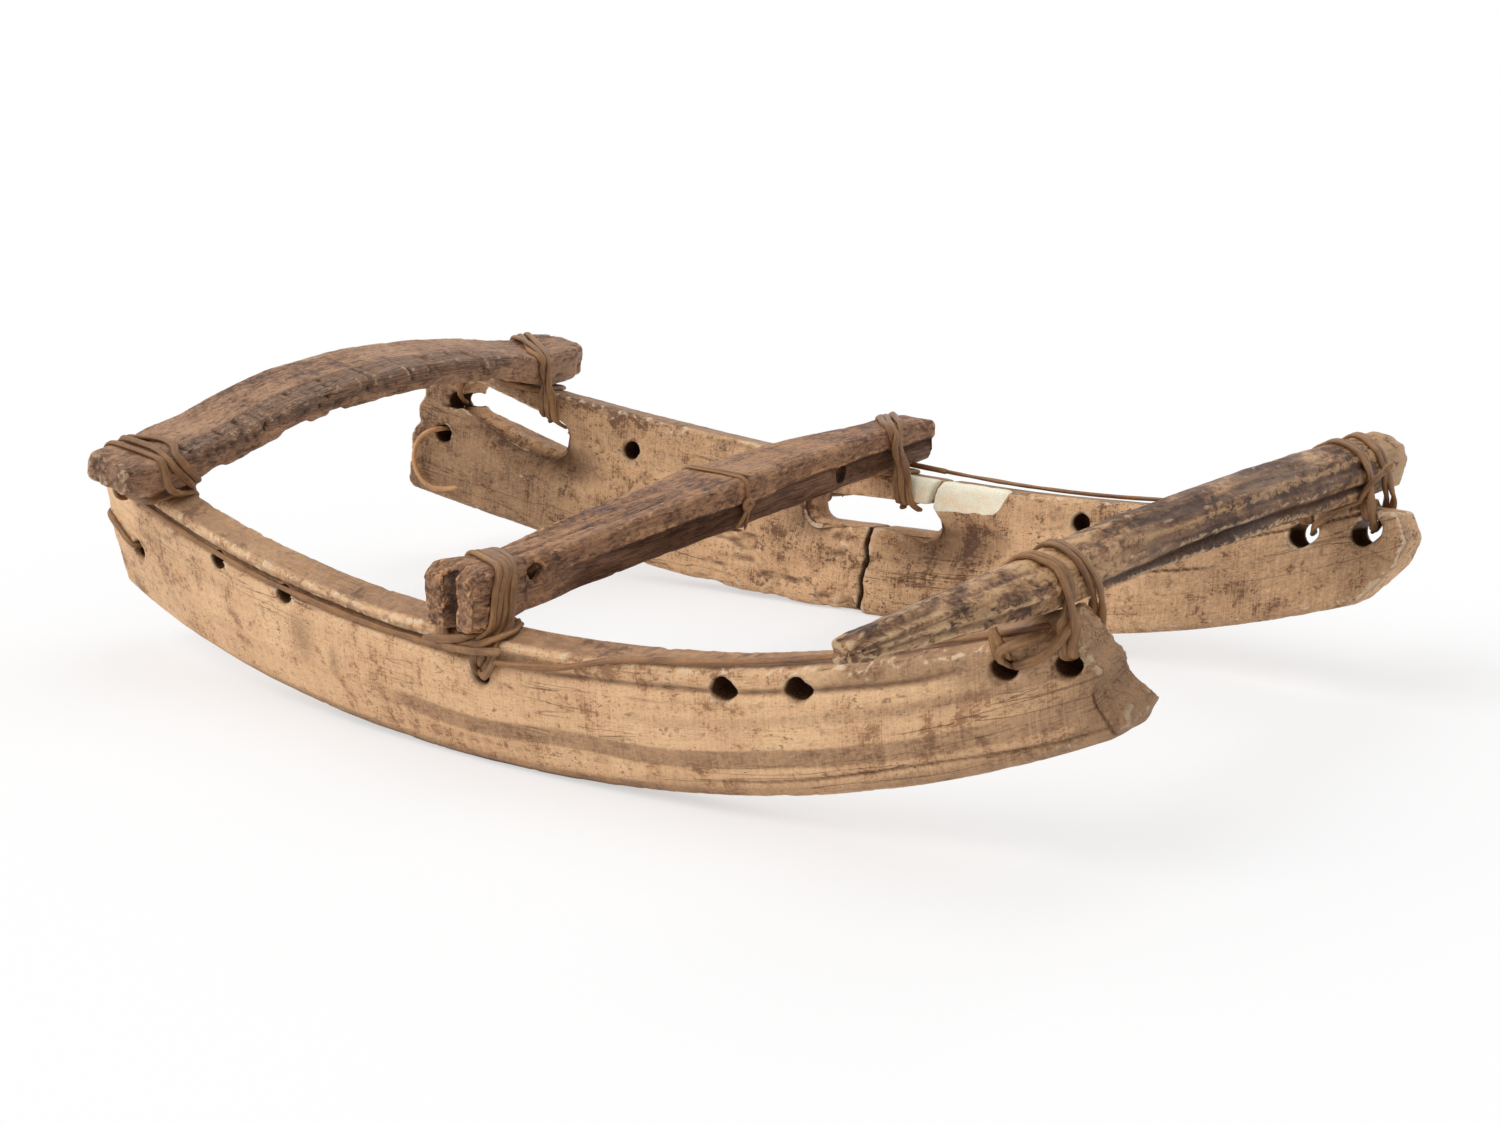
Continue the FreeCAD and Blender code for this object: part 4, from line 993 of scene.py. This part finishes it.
def round_seat(runner, rear, front, turns, drop=-4.0):
    """Turns round everything at a seat: along both faces under the bar, over the edge behind and in front."""
    t, off, clear = runner.thickness, 3.5, 2.5
    points = []
    for turn in range(turns):
        a, b, low = rear - 3.0 * turn, front + 3.0 * turn, drop - 3.0 * turn
        points += runner.tops(
            (a, -off, low), (b, -off, low), (b, -0.5, clear), (b, t + 0.5, clear),
            (b, t + off, low), (a, t + off, low), (a, t + 0.5, clear), (a + 2.0, -0.5, clear))
    return points


def rear_right_strands():
    hx, hu = RIGHT_REAR_HOLE
    lash = RIGHT.points((hx + 1, 6, hu + 1), (hx + 1, 14, hu + 1))
    for turn, (behind, before) in enumerate(((8.0, -8.0), (5.0, 2.0), (11.0, 5.5))):
        first, last = seat_y(RIGHT, REAR_X, True, behind), seat_y(RIGHT, REAR_X, True, before)
        lash += [face(RIGHT, False, hx + 3 * turn, hu + 6, 2.5 + turn), rim(RIGHT, True, REAR_X - 17 - turn)]
        lash += REAR_BAR.over(first, last, False, 2.5 + 1.2 * turn)
        lash += RIGHT.tops((REAR_X + 20 + 1.5 * turn, 1.0, 2.0), (REAR_X + 15 + 1.5 * turn, 12.0, 1.5))
        lash += [rim(RIGHT, False, REAR_X + 11 + turn, 1.0), face(RIGHT, False, hx + 14 - 3 * turn, hu + 10)]
    lash += RIGHT.points((hx + 2, 18.5, hu - 1), (hx + 1, 13, hu - 1))
    frap = round_seat(RIGHT, REAR_X - 16.0, REAR_X + 16.0, 1, -5.0)
    loop = RIGHT.points((hx, 8, hu), (hx, 0, hu + 1), (hx - 4, -3, hu + 3), (-238.5, -2, hu + 12),
                        (-239.5, 8, hu + 14), (-238, 19, hu + 16), (-226, 20, hu + 14), (hx - 1, 19, hu + 3),
                        (hx, 14, hu))
    return [Strand("rear_right_lashing", lash), Strand("rear_right_frapping", frap),
            Strand("right_end_loop", loop, width=3.0)]


def slot_lashing(bar, bar_x, slot, fan, lift_step, rear_reach, rear_step, front_reach):
    """Turns through a slot of the left runner and over a crosspiece, up behind it and down in front.

    The fan says how far beyond the plank each turn lies: on top at the rear, on top in front, low in front.
    """
    slot_x, slot_up = slot
    lash = [LEFT.point(slot_x, 9, slot_up)]
    for turn, (behind, before, below) in enumerate(fan):
        x = slot_x + 3.4 * turn
        lash += [LEFT.point(x, -3.5, slot_up), rim(LEFT, True, bar_x - rear_reach - rear_step * turn)]
        lash += bar.over(seat_y(LEFT, bar_x, True, behind), seat_y(LEFT, bar_x, False, before), False,
                         2.5 + lift_step * turn, seat_y(LEFT, bar_x, False, below))
        lash += [rim(LEFT, False, bar_x + front_reach + 2 * turn)]
        lash += LEFT.points((x + 3, 21.5, slot_up), (x + 3, 9, slot_up))
    return lash


def rear_left_strands():
    fan = ((2.0, 9.5, 2.5), (-2.5, 6.0, 8.0), (5.0, 2.5, 5.0))
    lash = slot_lashing(REAR_BAR, REAR_X, (REAR_X + 12, 50), fan, 1.2, 17, 1, 17)
    frap = round_seat(LEFT, REAR_X - 17.0, REAR_X + 19.0, 1)
    stay = LEFT.points((-227, 9, 46), (-227, 19, 46), (-225, 21, 54))
    stay += [rim(LEFT, False, -222, 2.0), LEFT.top(-221, 9, 2.5)]
    return [Strand("rear_left_lashing", lash), Strand("rear_left_frapping", frap),
            Strand("rear_left_stay", stay, width=2.6)]


def middle_right_strands():
    hx, hu = RIGHT_MIDDLE_HOLE
    lash = RIGHT.points((hx, 6, hu), (hx, 0, hu))
    for turn in range(4):
        outer, inner = seat_y(RIGHT, 0, True, -1.5 - 3.3 * turn), seat_y(RIGHT, 0, False, 0.0 + 2.8 * turn)
        lash += [RIGHT.point(hx + 2, -3.0, hu + 4), rim(RIGHT, True, 15 + 2.4 * turn, 2.0)]
        lash += MIDDLE_BAR.over(outer, inner, True, 2.5 + 0.8 * turn)
        lash += [rim(RIGHT, False, -16 - 2 * turn), face(RIGHT, False, hx - 3, hu + 4)]
        lash += RIGHT.points((hx, 13, hu), (hx, 4, hu))
    frap = round_seat(RIGHT, -17.0, 17.0, 2, -3.0)
    frap += RIGHT.tops((-14, -5, -9), (6, -6, -10), (16, -4.5, -6), (22, -3.5, -1))
    return [Strand("middle_right_lashing", lash), Strand("middle_right_frapping", frap)]


def middle_left_strands():
    fan = ((2.0, 10.0, 0.5), (5.2, 4.0, 10.5), (8.4, 1.0, 6.5))
    lash = slot_lashing(MIDDLE_BAR, MIDDLE_X, (8, 47), fan, 1.0, 16, 2, 15)
    frap = round_seat(LEFT, -15.0, 16.0, 1)
    splice = []
    for turn in range(3):
        x = -31.0 + 3.6 * turn
        splice += [LEFT.point(x, -3.5, 47), LEFT.top(x, -2.5, 2.5)]
        splice += [LEFT.top(x, 20, 2.5), LEFT.point(x + 1, 21, 47)]
    return [Strand("middle_left_lashing", lash), Strand("middle_left_frapping", frap),
            Strand("break_splice", splice)]


def front_lashing(name, runner, holes, slant):
    (rx, ru), (fx, fu) = holes
    clear = runner.thickness + 2.5
    lash = [runner.point(fx, 8, fu)]
    for turn in range(2):
        outer, inner = (seat_y(runner, FRONT_X, side, 1.5 + 3.2 * turn) for side in (True, False))
        lift = 2.5 + 1.0 * turn
        ahead, behind = FRONT_X + 13 + 2 * turn, FRONT_X - 14 - 2 * turn
        lash += [runner.point(fx, -3, fu + 2), rim(runner, True, ahead, 2.0)]
        lash += FRONT_BAR.over(outer - runner.side * slant, outer, True, lift)
        lash += [rim(runner, True, behind, 2.0)]
        lash += runner.points((rx, -3, ru + 2), (rx, 9, ru), (rx, clear, ru + 2))
        lash += FRONT_BAR.over(inner, inner + runner.side * 3, False, lift)
        lash += [rim(runner, False, ahead), *runner.points((fx, clear, fu + 2), (fx, 9, fu))]
    return Strand(name, lash)


def front_right_strands():
    (rx, ru), (fx, fu) = RIGHT_FRONT_HOLES
    tie = RIGHT.tops((fx - 4, -2.5, -3.0), (rx + 4, -4.0, -4.5), (rx - 9, -3.5, -5.0))
    tie += RIGHT.points((rx - 5, -3.5, ru + 5), (rx - 1, 0, ru + 1), (rx, 8, ru - 1), (rx, -1, ru - 3),
                        (rx + 5, -5, ru - 7), (fx - 4, -6, ru - 2), (fx + 4, -5, ru + 8))
    tie += [rim(RIGHT, True, fx + 6, 4.0), FRONT_BAR.corner(seat_y(RIGHT, FRONT_X, True, -8), True, False)]
    return [front_lashing("front_right_lashing", RIGHT, RIGHT_FRONT_HOLES, 9.0),
            Strand("front_right_tie", tie, tight=0.5)]


def front_left_strands():
    (rx, ru), (fx, fu) = LEFT_FRONT_HOLES
    tie = LEFT.points((rx + 1, 9, ru), (rx + 2, 19, ru), (rx + 8, 22, ru + 4), (fx - 6, 23, fu + 16),
                      (fx + 4, 23, fu + 22), (fx + 9, 20, fu + 25))
    return [front_lashing("front_left_lashing", LEFT, LEFT_FRONT_HOLES, 6.0),
            Strand("front_left_tie", tie, tight=0.5)]


def line_strands():
    groove = [RIGHT.top(x, 0.6, -7.7) for x in np.linspace(-231.0, -4.0, 24)]
    near = RIGHT.tops((17.0, -3.5, -6.0), (30.0, -2.4, -6.5), (42.0, -1.8, -6.0), (54, -1.2, -3.0))
    near += [RIGHT.top(x, 1.0 + 6.0 * (x - 60) / 170, 1.4 - 7.0 * max(0, x - 190) / 40)
             for x in range(66, 230, 12)]
    far = [LEFT.top(x, 0.5 + 3.5 * min(1.0, (x - 3) / 60), 2.6 - 1.4 * min(1.0, (x - 24) / 70))
           for x in range(3, 194, 12)]
    return [Strand("right_edge_line", groove, 2.6, 1.8, (0.3, 0.3), 0.3),
            Strand("right_front_line", near, 2.4, 1.8, (0.2, 0.2), 0.3),
            Strand("left_edge_line", far, 2.4, 1.7, (0.3, 0.3), 0.3)]


def binding_strands():
    points = []
    for y in (31.0, 34.0):
        for shift, front, top in ((0, True, False), (-1, False, False), (-1, False, True), (1, True, True)):
            points.append(MIDDLE_BAR.corner(y + shift, front, top, 1.5))
    return [Strand("middle_binding", points, 1.9, 1.2)]


SLOTS = {m["node"]: m["material_slot"] for m in frame["record"]["subparts"]}
GROUPS = (
    (rear_right_strands(), ("right_runner", "rear_crosspiece")),
    (rear_left_strands(), ("left_runner_rear", "rear_crosspiece")),
    (middle_right_strands(), ("right_runner", "middle_crosspiece")),
    (middle_left_strands(), ("left_runner_rear", "left_runner_front", "middle_crosspiece")),
    (front_right_strands(), ("right_runner", "front_crosspiece")),
    (front_left_strands(), ("left_runner_front", "front_crosspiece")),
    (line_strands(), ("right_runner", "left_runner_front")),
    (binding_strands(), ("middle_crosspiece",)),
)
seed = 100
for strands, around in GROUPS:
    settle(strands, around)
    for strand in strands:
        seed += 20
        slot = SLOTS[strand.node]
        thong_piece(strand.node + "_thong", [strand], strand.node,
                    HIDE if slot == "hide_thong" else THIN_HIDE, seed)


def hanging_cord():
    """The loose end at the left runner's lower rear hole: a thin thong along the CAD's route, in metres."""
    route = ((-0.2348, 0.12896, 0.06305), (-0.2348, 0.11362, 0.06521), (-0.2425, 0.11126, 0.05822),
             (-0.2445, 0.1103, 0.04769), (-0.239, 0.11127, 0.03777), (-0.23, 0.11298, 0.0346),
             (-0.219, 0.11545, 0.03755))
    curve = bpy.data.curves.new("hanging_route", "CURVE")
    curve.dimensions = "3D"
    curve.resolution_u = 16
    spline = curve.splines.new("NURBS")
    spline.points.add(len(route) - 1)
    for point, place in zip(spline.points, route):
        point.co = (*place, 1.0)
    spline.order_u = 3
    spline.use_endpoint_u = True
    line = put("hanging_route", curve)
    graph = bpy.context.evaluated_depsgraph_get()
    traced = bpy.data.meshes.new_from_object(line.evaluated_get(graph))
    points = np.array([v.co for v in traced.vertices]) / MM
    bpy.data.objects.remove(line)
    bpy.data.meshes.remove(traced)
    strand = Strand("hanging_thong", resample(points, 0.8), width=2.5, thick=2.1)
    strand.normal = np.tile((-0.1, -1.0, 0.1), (len(strand.points), 1))
    obj = thong_piece("hanging_thong_strip", [strand], "hanging_thong", LOOSE_HIDE, 900)


def binding_knot():
    """The small tie on the front face of the middle bar: a loop and its two ends hanging under it."""
    y = 33.0
    face_x, _, low = MIDDLE_BAR.corner(y, True, False, 0.0)
    high = MIDDLE_BAR.corner(y, True, True, 0.0)[2]
    x = face_x + 1.6
    loop = [(x, y - 2, high - 4), (x + 0.8, y + 1, high - 8), (x + 1.4, y + 3, low + 9),
            (x + 1.8, y - 1, low + 6), (x + 1.6, y - 3.5, low + 9), (x + 2.2, y, low + 11.5),
            (x + 2.0, y + 3.5, low + 8)]
    tail = [(x + 1.6, y + 1, low + 9.5), (x + 1.8, y - 3, low + 5), (x + 1.2, y - 6, low + 1.5),
            (x + 0.8, y - 8, low)]
    other = [(x + 1.6, y + 1, low + 9), (x + 1.6, y - 1, low + 4), (x + 1.0, y - 2, low - 1.5)]
    strands = []
    for points, width in ((loop, 2.2), (tail, 1.9), (other, 1.5)):
        strand = Strand("binding_knot", resample(points, 1.0), width=width, thick=1.2, hold=(0.0, 0.0))
        for _ in range(3):
            strand.pull()
        strand.normal = np.tile((1.0, -0.2, 0.1), (len(strand.points), 1))
        strands.append(strand)
    thong_piece("binding_knot_tie", strands, "binding_knot", THIN_HIDE, 950)


hanging_cord()
binding_knot()


# ---- stage
FLOOR_HALF = 6.0
WHITE = (1.0, 1.0, 1.0, 1.0)
CAMERA_PLACE = (0.5823, -0.7409, 0.286)
CAMERA_AZIMUTH, CAMERA_ELEVATION = math.radians(36.12), math.radians(13.83)
CAMERA_LENS, SENSOR_WIDTH = 58.4, 36.0


def blend_by_ray(tree, rays, share, plain, special, output):
    """Shows the special shader to these kinds of ray, by that share, and the plain one to all others."""
    nodes, links = tree.nodes, tree.links
    path = nodes.new("ShaderNodeLightPath")
    factor = path.outputs[rays[0]]
    for ray in rays[1:]:
        either = nodes.new("ShaderNodeMath")
        either.operation = "MAXIMUM"
        links.new(factor, either.inputs[0])
        links.new(path.outputs[ray], either.inputs[1])
        factor = either.outputs[0]
    scaled = nodes.new("ShaderNodeMath")
    scaled.operation = "MULTIPLY"
    scaled.inputs[1].default_value = share
    links.new(factor, scaled.inputs[0])
    blend = nodes.new("ShaderNodeMixShader")
    for source, socket in zip((scaled, plain, special), blend.inputs):
        links.new(source.outputs[0], socket)
    links.new(blend.outputs[0], nodes[output].inputs["Surface"])


def make_floor():
    mesh = bpy.data.meshes.new("floor")
    h = FLOOR_HALF
    mesh.from_pydata([(-h, -h, 0), (h, -h, 0), (h, h, 0), (-h, h, 0)], [], [(0, 1, 2, 3)])
    material = bpy.data.materials.new("pale_floor")
    material.use_nodes = True
    tree = material.node_tree
    shader = tree.nodes["Principled BSDF"]
    shader.inputs["Base Color"].default_value = (0.86, 0.86, 0.87, 1.0)
    shader.inputs["Roughness"].default_value = 0.9
    glow = tree.nodes.new("ShaderNodeEmission")
    glow.inputs["Color"].default_value = WHITE
    glow.inputs["Strength"].default_value = 1.10
    blend_by_ray(tree, ("Is Camera Ray",), 0.50, shader, glow, "Material Output")
    mesh.materials.append(material)
    put("floor", mesh)


def make_world():
    world = bpy.data.worlds.new("studio")
    bpy.context.scene.world = world
    world.use_nodes = True
    lit = world.node_tree.nodes["Background"]
    lit.inputs["Color"].default_value = (1.0, 0.99, 0.97, 1.0)
    lit.inputs["Strength"].default_value = 0.50
    seen = world.node_tree.nodes.new("ShaderNodeBackground")
    seen.inputs["Color"].default_value = WHITE
    seen.inputs["Strength"].default_value = 1.0
    rays = ("Is Camera Ray", "Is Glossy Ray", "Is Transmission Ray")
    blend_by_ray(world.node_tree, rays, 1.0, lit, seen, "World Output")


def add_sun(name, toward, strength, spread):
    """A broad soft light from that direction, even over the whole floor."""
    sun = bpy.data.lights.new(name, "SUN")
    sun.energy = strength
    sun.angle = math.radians(spread)
    put(name, sun).rotation_euler = Vector(toward).to_track_quat("Z", "Y").to_euler()


def add_camera():
    level = math.cos(CAMERA_ELEVATION)
    back = Vector((math.sin(CAMERA_AZIMUTH) * level, -math.cos(CAMERA_AZIMUTH) * level,
                   math.sin(CAMERA_ELEVATION)))
    data = bpy.data.cameras.new("photo_camera")
    data.lens = CAMERA_LENS
    data.sensor_width = SENSOR_WIDTH
    data.sensor_fit = "HORIZONTAL"
    data.clip_end = 50.0
    camera = put("photo_camera", data)
    camera.location = CAMERA_PLACE
    camera.rotation_euler = back.to_track_quat("Z", "Y").to_euler()
    bpy.context.scene.camera = camera


make_floor()
make_world()
add_sun("key", toward=(-0.55, -0.85, 1.0), strength=1.55, spread=50.0)
add_sun("over", toward=(0.1, 0.5, 1.0), strength=0.65, spread=60.0)
add_camera()
bpy.context.scene.view_settings.view_transform = "Standard"
